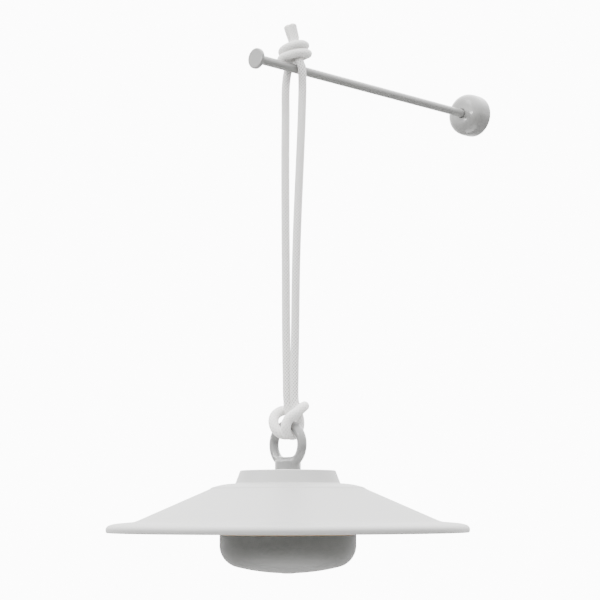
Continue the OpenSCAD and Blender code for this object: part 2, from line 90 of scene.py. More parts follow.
class Body(Enum):
    """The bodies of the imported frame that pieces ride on."""

    ARM = "arm"
    COVER = "cover"
    LAMP = "lamp"
    BUTTON = "button"
    FLAP = "flap"


class Slot(Enum):
    """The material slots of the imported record."""

    SHADE_PAINT = "shade_paint"
    BRACKET_PAINT = "bracket_paint"
    EYE_PAINT = "eye_paint"
    SPACER_PLASTIC = "spacer_plastic"
    SEAL_SILICONE = "seal_silicone"
    BODY_PLASTIC = "body_plastic"
    ROPE_BRAID = "rope_braid"
    PLATE_STEEL = "plate_steel"
    SCREW_STEEL = "screw_steel"
    PLATE_ALUMINIUM = "plate_aluminium"
    BOARD_WHITE = "board_white"
    BOARD_GREEN = "board_green"
    CHIP_YELLOW = "chip_yellow"
    LENS_PLASTIC = "lens_plastic"
    DARK_RUBBER = "dark_rubber"
    DARK_PLASTIC = "dark_plastic"
    CELL_WRAP = "cell_wrap"


class Seat(Enum):
    """Where the axis of a turned piece stands, and which way its heights count."""

    LAMP = "up the lamp's axis, from the lower edge of the shade"
    WALL = "along the rod, from the wall"

    def place(self, points: np.ndarray) -> np.ndarray:
        """Moves points drawn round the z axis onto this seat.

        Args:
            points: an array of x, y, z rows in millimetres.

        Returns:
            The same rows in metres, in the frame of the whole object.
        """
        x, y, z = points[:, 0], points[:, 1], points[:, 2]
        if self is Seat.LAMP:
            moved = np.stack([x, y + LAMP_Y, z + BASE_Z], axis=1)
        else:
            moved = np.stack([x, -z, y], axis=1)
        return moved * MM


# ---------------------------------------------------------------- lines and curves


def smooth_line(points: Sequence[Sequence[float]], steps: int) -> np.ndarray:
    """Draws a centripetal Catmull-Rom curve through points, in a plane or in space.

    Each stretch between two points is cut into equal steps of its own parameter. The parameter between two
    points is the square root of their distance, and the ends use a mirrored neighbour.

    Args:
        points: the points that the curve passes through.
        steps: the number of steps in each stretch.

    Returns:
        The points of the curve, with the first and last given points at its ends.
    """
    given = np.asarray(points, float)
    full = np.vstack([2 * given[0] - given[1], given, 2 * given[-1] - given[-2]])
    p0, p1, p2, p3 = (full[i : i + len(given) - 1, None, :] for i in range(4))
    t1 = np.sqrt(np.linalg.norm(p1 - p0, axis=2, keepdims=True))
    t2 = t1 + np.sqrt(np.linalg.norm(p2 - p1, axis=2, keepdims=True))
    t3 = t2 + np.sqrt(np.linalg.norm(p3 - p2, axis=2, keepdims=True))
    t = t1 + (t2 - t1) * (np.arange(steps) / steps)[None, :, None]

    def between(a: np.ndarray, b: np.ndarray, low: np.ndarray, high: np.ndarray) -> np.ndarray:
        """Mixes a and b by where t lies from low to high."""
        return ((high - t) * a + (t - low) * b) / (high - low)

    zero = np.zeros_like(t1)
    a, b, c = between(p0, p1, zero, t1), between(p1, p2, t1, t2), between(p2, p3, t2, t3)
    curve = between(between(a, b, zero, t2), between(b, c, t1, t3), t1, t2)
    return np.vstack([curve.reshape(-1, given.shape[1]), given[-1]])


def even_line(line: np.ndarray, count: int) -> Tuple[np.ndarray, np.ndarray]:
    """Spaces count points evenly along a line.

    Args:
        line: the points of the line.
        count: the number of points wanted.

    Returns:
        The new points, and the length of line up to each of them.
    """
    run = np.concatenate([[0.0], np.cumsum(np.linalg.norm(np.diff(line, axis=0), axis=1))])
    at = np.linspace(0.0, run[-1], count)
    return np.stack([np.interp(at, run, line[:, k]) for k in range(line.shape[1])], axis=1), at


def inset_line(line: np.ndarray, depth: float) -> np.ndarray:
    """Moves each point of an open profile by depth to its left, square to the line there.

    Args:
        line: the points of the profile.
        depth: the distance in millimetres, to the left of the way along the line.

    Returns:
        The moved points, in the same order.
    """
    way = np.gradient(line, axis=0)
    way /= np.linalg.norm(way, axis=1, keepdims=True)
    return line + depth * np.stack([-way[:, 1], way[:, 0]], axis=1)


def round_corners(
    points: Sequence[Sequence[float]], radii: Sequence[float], closed: bool, steps: int = 6
) -> np.ndarray:
    """Rounds the corners of a profile with arcs that touch both sides.

    Beside each arc goes one more point on each straight side, so that smooth shading stays flat there.

    Args:
        points: the corners.
        radii: the radius at each corner, and 0 where it stays as it is.
        closed: whether the last corner joins the first.
        steps: the number of steps in each arc.

    Returns:
        The points of the rounded profile.
    """
    corners = np.asarray(points, float)
    count = len(corners)
    out: List[np.ndarray] = []
    for i, (here, radius) in enumerate(zip(corners, radii)):
        if radius <= 0 or (not closed and i in (0, count - 1)):
            out.append(here[None])
            continue
        back, ahead = corners[i - 1] - here, corners[(i + 1) % count] - here
        u, v = back / np.linalg.norm(back), ahead / np.linalg.norm(ahead)
        half = 0.5 * math.acos(max(-1.0, min(1.0, float(u @ v))))
        reach = radius / math.tan(half)
        middle = here + (u + v) / np.linalg.norm(u + v) * radius / math.sin(half)
        first, last = here + u * reach - middle, here + v * reach - middle
        turn = math.pi - 2 * half
        t = np.linspace(0.0, 1.0, steps + 1)[:, None]
        arc = middle + (np.sin((1 - t) * turn) * first + np.sin(t * turn) * last) / math.sin(turn)
        hold = min(0.25 * radius, 0.1 * min(np.linalg.norm(back), np.linalg.norm(ahead)))
        out.append(np.vstack([arc[0] + u * hold, arc, arc[-1] + v * hold]))
    return np.vstack(out)


def ring_frames(line: np.ndarray) -> Tuple[np.ndarray, np.ndarray, np.ndarray]:
    """Gives each point of a line a direction and two sideways axes that turn as little as they can.

    Args:
        line: the points of the line, in space.

    Returns:
        The directions and both sideways axes, one row for each point.
    """
    way = np.gradient(line, axis=0)
    way /= np.linalg.norm(way, axis=1, keepdims=True)

    def carry(side: np.ndarray, ahead: np.ndarray) -> np.ndarray:
        """Carries a sideways axis on to the next direction."""
        flat = side - (side @ ahead) * ahead
        return flat / np.linalg.norm(flat)

    start = carry(np.array([0.31, 0.87, 0.42]), way[0])
    side = np.array(list(itertools.accumulate(way[1:], carry, initial=start)))
    return way, side, np.cross(way, side)


# ---------------------------------------------------------------- surfaces


def grid_quads(rows: int, cols: int, rows_closed: bool = False) -> np.ndarray:
    """Lists the quads of a grid whose columns run all the way round.

    Args:
        rows: the number of rings.
        cols: the number of points in a ring.
        rows_closed: whether the last ring joins the first.

    Returns:
        An array of four point numbers to a row, ordered ring by ring.
    """
    i = np.arange(rows if rows_closed else rows - 1)[:, None]
    j = np.arange(cols)[None, :]
    below, above = i * cols, ((i + 1) % rows) * cols
    beside = (j + 1) % cols
    return np.stack([below + j, below + beside, above + beside, above + j], axis=2).reshape(-1, 4)


def fan(ring: np.ndarray, middle: int, flipped: bool) -> np.ndarray:
    """Lists the triangles that close a ring onto one point.

    Args:
        ring: the point numbers of the ring, in order.
        middle: the number of the point in its middle.
        flipped: whether the triangles face the other way.

    Returns:
        An array of three point numbers to a row.
    """
    ahead = np.roll(ring, -1)
    first, second = (ahead, ring) if flipped else (ring, ahead)
    return np.stack([first, second, np.full(len(ring), middle)], axis=1)


def end_fans(total: int, cols: int) -> np.ndarray:
    """Lists the triangles that close the first and the last ring onto two points that follow the rings.

    Args:
        total: the number of points in all rings.
        cols: the number of points in a ring.

    Returns:
        An array of three point numbers to a row.
    """
    ring = np.arange(cols)
    return np.vstack([fan(ring, total, True), fan(ring + total - cols, total + 1, False)])


@dataclass
class Skin:
    """A surface: its points in metres, and its faces as point numbers."""

    points: np.ndarray
    quads: np.ndarray
    triangles: np.ndarray = field(default_factory=lambda: np.zeros((0, 3), int))

    def __add__(self, other: "Skin") -> "Skin":
        """Puts two surfaces in one, without joining them.

        Args:
            other: the second surface.

        Returns:
            A surface with the points and faces of both.
        """
        shift = len(self.points)
        return Skin(
            np.vstack([self.points, other.points]),
            np.vstack([self.quads, other.quads + shift]),
            np.vstack([self.triangles, other.triangles + shift]),
        )

    def to_object(self, name: str) -> bpy.types.Object:
        """Makes a smooth-shaded mesh object, at the origin and unturned.

        Args:
            name: the name of the piece.

        Returns:
            The new object, linked to the scene.
        """
        mesh = bpy.data.meshes.new(name)
        quads, triangles = self.quads, self.triangles
        corners = np.concatenate([quads.ravel(), triangles.ravel()]).astype(np.int32)
        starts = np.concatenate(
            [np.arange(len(quads)) * 4, len(quads) * 4 + np.arange(len(triangles)) * 3]
        ).astype(np.int32)
        mesh.vertices.add(len(self.points))
        mesh.vertices.foreach_set("co", self.points.astype(np.float32).ravel())
        mesh.loops.add(len(corners))
        mesh.loops.foreach_set("vertex_index", corners)
        mesh.polygons.add(len(starts))
        mesh.polygons.foreach_set("loop_start", starts)
        mesh.update(calc_edges=True)
        mesh.validate()
        mesh.polygons.foreach_set("use_smooth", np.ones(len(starts), bool))
        made = bpy.data.objects.new(name, mesh)
        bpy.context.scene.collection.objects.link(made)
        LOG.info("%s: %d faces", name, len(starts))
        return made


def spun(profile: np.ndarray, angle: np.ndarray) -> np.ndarray:
    """Puts each point of radius r and height h at (r cos a, r sin a, h) for every angle a.

    Args:
        profile: rows of radius and height, in millimetres.
        angle: the angles, in radians.

    Returns:
        Rows of x, y and z, ring by ring.
    """
    radius, height = profile[:, :1], profile[:, 1:]
    places = [radius * np.cos(angle), radius * np.sin(angle), height + 0 * angle]
    return np.stack(places, axis=2).reshape(-1, 3)


def turned(profile: np.ndarray, seat: Seat, closed: bool, sides: int = 256) -> Skin:
    """Turns a profile round an axis.

    The profile runs counter-clockwise in the plane of radius and height, so that the faces look outward. A
    closed profile makes a ring, and an open one starts and ends on the axis, where a fan closes it.

    Args:
        profile: rows of radius and height, in millimetres.
        seat: where the axis stands.
        closed: whether the last row joins the first.
        sides: the number of points round the axis.

    Returns:
        The surface.
    """
    rings = profile if closed else profile[1:-1]
    points = spun(rings, np.arange(sides) * 2 * math.pi / sides)
    quads = grid_quads(len(rings), sides, rows_closed=closed)
    if closed:
        return Skin(seat.place(points), quads)
    tips = np.array([[0.0, 0.0, profile[0, 1]], [0.0, 0.0, profile[-1, 1]]])
    return Skin(seat.place(np.vstack([points, tips])), quads, end_fans(len(points), sides))


def slab(outline: np.ndarray, rise: Sequence[Pair], place: Placing) -> Skin:
    """Lifts a flat outline through a rise, closed at both ends.

    Each step of the rise shrinks the outline toward its middle by its first number of millimetres, square to
    its edge, and lifts it by its second.

    Args:
        outline: the closed outline, counter-clockwise, as rows of x and y in millimetres.
        rise: pairs of inset and height, from the lower face to the upper one.
        place: moves rows of x, y, z in millimetres to their place in metres.

    Returns:
        The surface.
    """
    way = np.roll(outline, -1, axis=0) - np.roll(outline, 1, axis=0)
    way /= np.linalg.norm(way, axis=1, keepdims=True)
    inward = np.stack([-way[:, 1], way[:, 0]], axis=1)
    steps = np.asarray(rise, float)
    flat = outline[None] + inward[None] * steps[:, :1, None]
    height = np.broadcast_to(steps[:, 1][:, None, None], flat.shape[:2] + (1,))
    points = np.concatenate([flat, height], axis=2).reshape(-1, 3)
    middle = outline.mean(axis=0)
    tips = np.array([[*middle, steps[0, 1]], [*middle, steps[-1, 1]]])
    count = len(outline)
    return Skin(
        place(np.vstack([points, tips])), grid_quads(len(steps), count), end_fans(len(points), count)
    )


def round_rectangle(width: float, height: float, corner: float, steps: int = 6) -> np.ndarray:
    """Draws a rectangle with round corners about the origin.

    Args:
        width: its size along x, in millimetres.
        height: its size along y, in millimetres.
        corner: the radius of its corners.
        steps: the number of steps in each corner.

    Returns:
        Its outline, counter-clockwise.
    """
    x, y = width / 2, height / 2
    return round_corners([(x, -y), (x, y), (-x, y), (-x, -y)], [corner] * 4, True, steps)


def settled(distance: Distance, points: np.ndarray) -> np.ndarray:
    """Puts points onto the surface where a distance function is zero, by three steps down its slope.

    Args:
        distance: gives the distance of each x, y, z row, negative inside.
        points: rows of x, y and z near the surface, in millimetres.

    Returns:
        The same rows, moved.
    """
    reach, least = 0.02, 0.05
    for _ in range(3):
        away = distance(points)
        rises = [distance(points + n) - distance(points - n) for n in np.eye(3) * reach]
        slope = np.stack(rises, axis=1) / (2 * reach)
        points = points - slope * (away / np.maximum((slope**2).sum(axis=1), least))[:, None]
    return points


def level_skin(
    distance: Distance, low: Triple, high: Triple, step: float
) -> Tuple[np.ndarray, np.ndarray]:
    """Finds the surface where a distance function is zero, as one net of quads.

    The box is cut into cells of one step. A cell that the surface crosses gets one point, the mean of the
    crossings on its twelve edges, and each crossed edge gets a quad from the four cells round it.

    Args:
        distance: gives the distance of each x, y, z row, negative inside.
        low: the lowest corner of the box, in millimetres.
        high: the highest corner of the box.
        step: the size of a cell.

    Returns:
        The points in millimetres, and the quads.
    """
    axes = [np.arange(a, b + step, step) for a, b in zip(low, high)]
    grid = np.stack(np.meshgrid(*axes, indexing="ij"), axis=3)
    shape = grid.shape[:3]
    value = distance(grid.reshape(-1, 3)).reshape(shape)
    cells = tuple(n - 1 for n in shape)
    total, weight = np.zeros(cells + (3,)), np.zeros(cells)
    crossed_edges = []
    for axis in range(3):
        head = [slice(None)] * 3
        tail = [slice(None)] * 3
        head[axis], tail[axis] = slice(None, -1), slice(1, None)
        a, b = value[tuple(head)], value[tuple(tail)]
        crossed = (a < 0) != (b < 0)
        share = np.where(crossed, a / np.where(crossed, a - b, 1.0), 0.0)
        point = grid[tuple(head)].copy()
        point[..., axis] += share * step
        point *= crossed[..., None]
        others = [k for k in range(3) if k != axis]
        for da, db in itertools.product((0, 1), repeat=2):
            part = [slice(None)] * 3
            for k, d in zip(others, (da, db)):
                part[k] = slice(d, d + cells[k])
            total += point[tuple(part)]
            weight += crossed[tuple(part)]
        crossed_edges.append((axis, others, crossed, a < 0))
    used = weight > 0
    number = np.full(cells, -1)
    number[used] = np.arange(int(used.sum()))
    points = total[used] / weight[used][:, None]
    quads = []
    for axis, others, crossed, inside in crossed_edges:
        at = np.argwhere(crossed)
        first, second = others
        pair = at[:, others]
        at = at[((pair > 0) & (pair < np.array(cells)[others])).all(axis=1)]
        ring = []
        for da, db in ((1, 1), (0, 1), (0, 0), (1, 0)):
            cell = at.copy()
            cell[:, first] -= da
            cell[:, second] -= db
            ring.append(number[tuple(cell.T)])
        quad = np.stack(ring, axis=1)
        turn = inside[tuple(at.T)] == (axis == 1)
        quad[turn] = quad[turn][:, ::-1]
        quads.append(quad)
    return settled(distance, points), np.vstack(quads)


# ---------------------------------------------------------------- shader maths

Number = Union["Socket", float]
Hue = Union["Socket", Colour]
Key = Union[str, int]
Inputs = Dict[Key, object]


@dataclass(frozen=True)
class Socket:
    """An output of a shader node, with arithmetic."""

    graph: "Graph"
    out: bpy.types.NodeSocket

    def _math(self, operation: str, *values: Number) -> "Socket":
        """Adds one maths node with these values."""
        return self.graph.maths(operation, *values)

    def __add__(self, other: Number) -> "Socket":
        """self + other."""
        return self._math("ADD", self, other)

    def __radd__(self, other: Number) -> "Socket":
        """other + self."""
        return self._math("ADD", other, self)

    def __sub__(self, other: Number) -> "Socket":
        """self - other."""
        return self._math("SUBTRACT", self, other)

    def __rsub__(self, other: Number) -> "Socket":
        """other - self."""
        return self._math("SUBTRACT", other, self)

    def __mul__(self, other: Number) -> "Socket":
        """self * other."""
        return self._math("MULTIPLY", self, other)

    def __rmul__(self, other: Number) -> "Socket":
        """other * self."""
        return self._math("MULTIPLY", other, self)

    def sine(self) -> "Socket":
        """The sine of self, in radians."""
        return self._math("SINE", self)

    def rise(self, low: float, high: float) -> "Socket":
        """Smoothly goes from 0 at low to 1 at high.

        Args:
            low: the value that gives 0.
            high: the value that gives 1.

        Returns:
            The smooth step.
        """
        return self.graph.node(
            "ShaderNodeMapRange",
            {"interpolation_type": "SMOOTHSTEP"},
            {"Value": self, "From Min": low, "From Max": high, "To Min": 0.0, "To Max": 1.0},
        )


@dataclass
class Graph:
    """The node tree of one material."""

    tree: bpy.types.NodeTree

    def node(
        self, kind: str, settings: Dict[str, object], values: Inputs, out: Optional[Key] = 0
    ) -> Optional[Socket]:
        """Adds one node.

        Args:
            kind: the node's type.
            settings: its properties, by name.
            values: its inputs by name or number, each a constant or a socket.
            out: the name or number of the output that is wanted, or None for a node without outputs.

        Returns:
            That output, if there is one.
        """
        made = self.tree.nodes.new(kind)
        for key, value in settings.items():
            setattr(made, key, value)
        for key, value in values.items():
            if isinstance(value, Socket):
                self.tree.links.new(value.out, made.inputs[key])
            else:
                made.inputs[key].default_value = value
        return None if out is None else Socket(self, made.outputs[out])

    def maths(self, operation: str, *values: Number) -> Socket:
        """Adds one maths node.

        Args:
            operation: the name of the operation.
            values: its operands, in order.

        Returns:
            Its result.
        """
        return self.node("ShaderNodeMath", {"operation": operation}, dict(enumerate(values)))

    def place(self) -> Socket:
        """The place of a point in its object, in metres."""
        return self.node("ShaderNodeTexCoord", {}, {}, "Object")

    def attribute(self, name: str) -> Socket:
        """The value of a number that the mesh stores at its points."""
        return self.node("ShaderNodeAttribute", {"attribute_name": name}, {}, "Fac")

    def parts(self, vector: Socket) -> Tuple[Socket, Socket, Socket]:
        """Splits a vector into its x, y and z.

        Args:
            vector: the vector.

        Returns:
            Its three parts.
        """
        x = self.node("ShaderNodeSeparateXYZ", {}, {0: vector}, "X")
        outputs = x.out.node.outputs
        return x, Socket(self, outputs["Y"]), Socket(self, outputs["Z"])

    def stretch(self, vector: Socket, by: Triple) -> Socket:
        """Scales a vector by a number along each axis.

        Args:
            vector: the vector.
            by: the three numbers.

        Returns:
            The scaled vector.
        """
        return self.node("ShaderNodeVectorMath", {"operation": "MULTIPLY"}, {0: vector, 1: by})

    def noise(self, vector: Socket, size: float, detail: float = 3.0, rough: float = 0.5) -> Socket:
        """Cloudy noise from 0 to 1.

        Args:
            vector: the place it is read at, in metres.
            size: the size of its lumps, in metres.
            detail: how many finer layers it has.
            rough: how strong the finer layers are.

        Returns:
            Its value.
        """
        values = {"Vector": vector, "Scale": 1.0 / size, "Detail": detail, "Roughness": rough}
        return self.node("ShaderNodeTexNoise", {}, values)

    def cells(self, vector: Socket, size: float) -> Socket:
        """The distance to the nearest of many scattered points.

        Args:
            vector: the place it is read at, in metres.
            size: the distance between the points, in metres.

        Returns:
            The distance, from 0 at a point to about 1 between them.
        """
        return self.node("ShaderNodeTexVoronoi", {}, {"Vector": vector, "Scale": 1.0 / size}, "Distance")

    def mix(self, share: Number, first: Hue, second: Hue) -> Socket:
        """Mixes two colours.

        Args:
            share: 0 for the first and 1 for the second.
            first: the first colour.
            second: the second colour.

        Returns:
            The mixed colour.
        """
        values = {0: share, 6: self.hue(first), 7: self.hue(second)}
        return self.node("ShaderNodeMix", {"data_type": "RGBA"}, values, 2)

    @staticmethod
    def hue(colour: Hue) -> object:
        """A colour as an input takes it."""
        return colour if isinstance(colour, Socket) else (*colour, 1.0)

    def bump(
        self, height: Socket, distance: float, strength: float = 1.0, under: Optional[Socket] = None
    ) -> Socket:
        """Turns a height into a bumped normal.

        Args:
            height: the height, from 0 to about 1.
            distance: how far in metres a height of 1 stands out.
            strength: the share of the effect.
            under: a normal that it adds to, if there is one.

        Returns:
            The normal.
        """
        values: Inputs = {"Height": height, "Distance": distance, "Strength": strength}
        if under is not None:
            values["Normal"] = under
        return self.node("ShaderNodeBump", {}, values, "Normal")


def scaled(colour: Colour, by: float) -> Colour:
    """The colour with each part multiplied, and none over 1."""
    return tuple(min(1.0, c * by) for c in colour)


# ---------------------------------------------------------------- finishes


@dataclass(frozen=True)
class Finish:
    """A procedural material for one slot of the record."""

    slot: Slot
    colour: Colour
    roughness: float

    def inputs(self, graph: Graph) -> Inputs:
        """The inputs of the Principled shader for this finish.

        Args:
            graph: the material's node tree.

        Returns:
            Each input's constant or socket, by name.
        """
        raise NotImplementedError

    def build(self) -> bpy.types.Material:
        """Makes the material once, and gives the same one again later.

        Returns:
            The material.
        """
        name = self.slot.value + "_finish"
        found = bpy.data.materials.get(name)
        if found is not None:
            return found
        made = bpy.data.materials.new(name)
        made.use_nodes = True
        made.diffuse_color = (*self.colour, 1.0)
        made.node_tree.nodes.clear()
        graph = Graph(made.node_tree)
        shader = graph.node("ShaderNodeBsdfPrincipled", {}, self.inputs(graph))
        graph.node("ShaderNodeOutputMaterial", {}, {"Surface": shader}, None)
        LOG.info("finish %s", self.slot.value)
        return made


@dataclass(frozen=True)
class CoatedMetal(Finish):
    """Powder-coated metal: a fine orange-peel skin with soft clouds and a trace of dust."""

    peel: float = 0.0006
    depth: float = 0.00002
    gloss: float = 0.0
    dust: float = 0.04

    def inputs(self, graph: Graph) -> Inputs:
        """See Finish.inputs."""
        place = graph.place()
        cloud = graph.noise(place, 0.055, 4.0, 0.55)
        speck = graph.noise(place, 0.0009, 2.0, 0.6)
        grime = graph.noise(place, 0.02, 5.0, 0.65).rise(0.55, 0.85)
        tone = graph.mix(cloud * 0.6 + speck * 0.4, scaled(self.colour, 0.965), scaled(self.colour, 1.03))
        tone = graph.mix(grime * self.dust, tone, scaled(self.colour, 0.72))
        skin = graph.noise(place, self.peel, 2.0, 0.5)
        return {
            "Base Color": tone,
            "Roughness": self.roughness + (cloud - 0.5) * 0.1 + grime * 0.08,
            "Coat Weight": self.gloss * (1.0 - grime * 0.3),
            "Coat Roughness": 0.1,
            "Normal": graph.bump(skin, self.depth, 0.7),
        }


@dataclass(frozen=True)
class MouldedPlastic(Finish):
    """Moulded plastic: a fine spark-eroded grain, soft clouds and light handling marks."""

    grain: float = 0.0005
    depth: float = 0.00002

    def inputs(self, graph: Graph) -> Inputs:
        """See Finish.inputs."""
        place = graph.place()
        cloud = graph.noise(place, 0.03, 4.0, 0.6)
        pits = graph.cells(place, self.grain)
        rub = graph.noise(graph.stretch(place, (1.0, 1.0, 3.0)), 0.012, 6.0, 0.7).rise(0.56, 0.8)
        tone = graph.mix(cloud, scaled(self.colour, 0.985), scaled(self.colour, 1.015))
        tone = graph.mix(rub * 0.04, tone, scaled(self.colour, 1.25))
        return {
            "Base Color": tone,
            "Roughness": self.roughness + (cloud - 0.5) * 0.08 - rub * 0.05,
            "Normal": graph.bump(pits, self.depth, 0.6),
        }


@dataclass(frozen=True)
class SoftRubber(Finish):
    """Matt rubber: a dull skin with fine pores and a little pale dust."""

    pale: Colour = (0.16, 0.16, 0.155)

    def inputs(self, graph: Graph) -> Inputs:
        """See Finish.inputs."""
        place = graph.place()
        pores = graph.noise(place, 0.0004, 3.0, 0.6)
        dust = graph.noise(place, 0.006, 5.0, 0.7).rise(0.5, 0.8)
        return {
            "Base Color": graph.mix(dust * 0.35, self.colour, self.pale),
            "Roughness": self.roughness + dust * 0.1,
            "Normal": graph.bump(pores, 0.00002, 0.6),
        }


@dataclass(frozen=True)
class BareMetal(Finish):
    """Bare or plated metal: fine drawn lines, with duller patches."""

    lines: Triple = (1.0, 1.0, 25.0)
    metallic: float = 1.0

    def inputs(self, graph: Graph) -> Inputs:
        """See Finish.inputs."""
        place = graph.place()
        drawn = graph.noise(graph.stretch(place, self.lines), 0.004, 4.0, 0.6)
        dull = graph.noise(place, 0.01, 4.0, 0.6).rise(0.45, 0.75)
        return {
            "Base Color": graph.mix(dull, self.colour, scaled(self.colour, 0.82)),
            "Metallic": self.metallic,
            "Roughness": self.roughness + drawn * 0.12 + dull * 0.14,
            "Normal": graph.bump(drawn, 0.00001, 0.5),
        }


@dataclass(frozen=True)
class CircuitBoard(Finish):
    """A circuit board: copper traces show through the resist as faint ridges."""

    turns_x: float = 2600.0
    turns_y: float = 2100.0

    def inputs(self, graph: Graph) -> Inputs:
        """See Finish.inputs."""
        place = graph.place()
        x, y, _ = graph.parts(place)
        traces = ((x * self.turns_x).sine() * (y * self.turns_y).sine()).rise(0.2, 0.5)
        return {
            "Base Color": graph.mix(traces * 0.35, self.colour, scaled(self.colour, 1.5)),
            "Roughness": self.roughness + traces * 0.08,
            "Normal": graph.bump(traces, 0.00003, 0.6),
        }


@dataclass(frozen=True)
class Frosted(Finish):
    """Frosted plastic that light passes into: a fine matt skin and milky clouds, and a painted glow where
    painted_glow is above zero.
    """

    inside: float = 0.4
    # Emission strength of a painted glow, for a part that is no lamp.
    painted_glow: float = 0.0

    def inputs(self, graph: Graph) -> Inputs:
        """See Finish.inputs."""
        place = graph.place()
        milk = graph.noise(place, 0.02, 3.0, 0.5)
        frost = graph.noise(place, 0.0003, 2.0, 0.6)
        return {
            "Base Color": graph.mix(milk, scaled(self.colour, 0.96), scaled(self.colour, 1.03)),
            "Roughness": self.roughness + (frost - 0.5) * 0.1,
            "Subsurface Weight": self.inside,
            "Subsurface Scale": 0.004,
            "Emission Color": (*self.colour, 1.0),
            "Emission Strength": self.painted_glow,
            "Normal": graph.bump(frost, 0.00001, 0.5),
        }


@dataclass(frozen=True)
class GlossyWrap(Finish):
    """Shrink film or a moulded chip: glossy, with a faint ripple."""

    def inputs(self, graph: Graph) -> Inputs:
        """See Finish.inputs."""
        place = graph.place()
        ripple = graph.noise(place, 0.003, 2.0, 0.5)
        return {
            "Base Color": graph.mix(ripple, scaled(self.colour, 0.92), scaled(self.colour, 1.08)),
            "Roughness": self.roughness + (ripple - 0.5) * 0.1,
            "Normal": graph.bump(ripple, 0.00005, 0.5),
        }


@dataclass(frozen=True)
class BraidedRope(Finish):
    """Braided cord: yarns along each strand, painted shade in the valleys between strands, and a soft nap.
    """

    yarns: float = 5.0
    slant: float = 3.0
    stain: Colour = (0.72, 0.68, 0.60)
    melted: Colour = (0.66, 0.60, 0.48)

    def inputs(self, graph: Graph) -> Inputs:
        """See Finish.inputs."""
        place = graph.place()
        along = graph.node("ShaderNodeUVMap", {"uv_map": "braid"}, {})
        first, second, _ = graph.parts(along)
        over, relief, sealed = graph.attribute("over"), graph.attribute("relief"), graph.attribute("sealed")
        phase = first * over + second * (1.0 - over)
        lean = first * (1.0 - over) + second * over
        yarn = ((phase * (2 * math.pi * self.yarns) + lean * self.slant).sine() * 0.5 + 0.5) * (1.0 - sealed)
        nap = graph.noise(place, 0.00035, 3.0, 0.6)
        cloud = graph.noise(place, 0.018, 3.0, 0.55)
        strand = graph.noise(graph.stretch(along, (0.9, 0.9, 0.0)), 1.0, 1.0, 0.5)
        # Painted shade: the valleys between strands are painted darker where the stored relief is low.
        tone = graph.mix(relief.rise(0.4, 0.9), scaled(self.colour, 0.32), self.colour)
        tone = graph.mix(yarn * 0.2, tone, scaled(self.colour, 1.12))
        tone = graph.mix((cloud * 0.5 + strand * 0.5).rise(0.35, 0.7) * 0.1, tone, self.stain)
        tone = graph.mix(sealed * 0.45, tone, self.melted)
        return {
            "Base Color": tone,
            "Roughness": self.roughness + (nap - 0.5) * 0.12 - sealed * 0.25,
            "Sheen Weight": 0.35,
            "Sheen Roughness": 0.5,
            "Normal": graph.bump(nap, 0.00006, 0.5, graph.bump(yarn, 0.00009, 0.8)),
        }


FINISHES: Dict[Slot, Finish] = {
    finish.slot: finish
    for finish in (
        CoatedMetal(Slot.SHADE_PAINT, (0.44, 0.44, 0.433), 0.42),
        CoatedMetal(Slot.BRACKET_PAINT, (0.285, 0.285, 0.278), 0.3, 0.0008, 0.000004, 0.8),
        CoatedMetal(Slot.EYE_PAINT, (0.228, 0.228, 0.226), 0.3, 0.0008, 0.000004, 1.0),
        MouldedPlastic(Slot.SPACER_PLASTIC, (0.72, 0.72, 0.70), 0.5),
        MouldedPlastic(Slot.BODY_PLASTIC, (0.192, 0.192, 0.186), 0.5),
        BraidedRope(Slot.ROPE_BRAID, (0.98, 0.97, 0.95), 0.8),
        BareMetal(Slot.PLATE_STEEL, (0.62, 0.62, 0.62), 0.32),
        BareMetal(Slot.SCREW_STEEL, (0.60, 0.60, 0.60), 0.3),
        BareMetal(Slot.PLATE_ALUMINIUM, (0.75, 0.75, 0.76), 0.35, (1.0, 25.0, 1.0)),
        CircuitBoard(Slot.BOARD_WHITE, (0.86, 0.86, 0.84), 0.45),
        CircuitBoard(Slot.BOARD_GREEN, (0.05, 0.30, 0.14), 0.4),
        GlossyWrap(Slot.CHIP_YELLOW, (0.95, 0.78, 0.30), 0.25),
        Frosted(Slot.LENS_PLASTIC, (0.93, 0.89, 0.80), 0.42),
        # Painted light: the seal's amber colour and faint glow paint the lamp's warm light onto it.
        Frosted(Slot.SEAL_SILICONE, (0.66, 0.42, 0.24), 0.35, painted_glow=0.05),
        SoftRubber(Slot.DARK_RUBBER, (0.03, 0.03, 0.03), 0.75),
        MouldedPlastic(Slot.DARK_PLASTIC, (0.05, 0.05, 0.055), 0.5),
        GlossyWrap(Slot.CELL_WRAP, (0.05, 0.18, 0.40), 0.3),
    )
}


def dress(piece: bpy.types.Object, slot: Slot) -> None:
    """Gives a new piece the finish of its slot, a material named after the slot.

    Args:
        piece: the piece.
        slot: the record's slot.
    """
    piece.data.materials.clear()
    piece.data.materials.append(FINISHES[slot].build())


def finished(skin: Skin, name: str, slot: Slot, body: Body, *nodes: str) -> None:
    """Makes a piece of a surface, dresses it, sets it on its body and lets it stand for CAD nodes.

    Args:
        skin: the surface.
        name: the name of the piece.
        slot: the record's slot.
        body: the body it rides on.
        nodes: the CAD nodes that it stands for.
    """
    piece = skin.to_object(name)
    dress(piece, slot)
    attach(piece, body.value)
    if nodes:
        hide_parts(*nodes)


# ---------------------------------------------------------------- camera, lights and floor


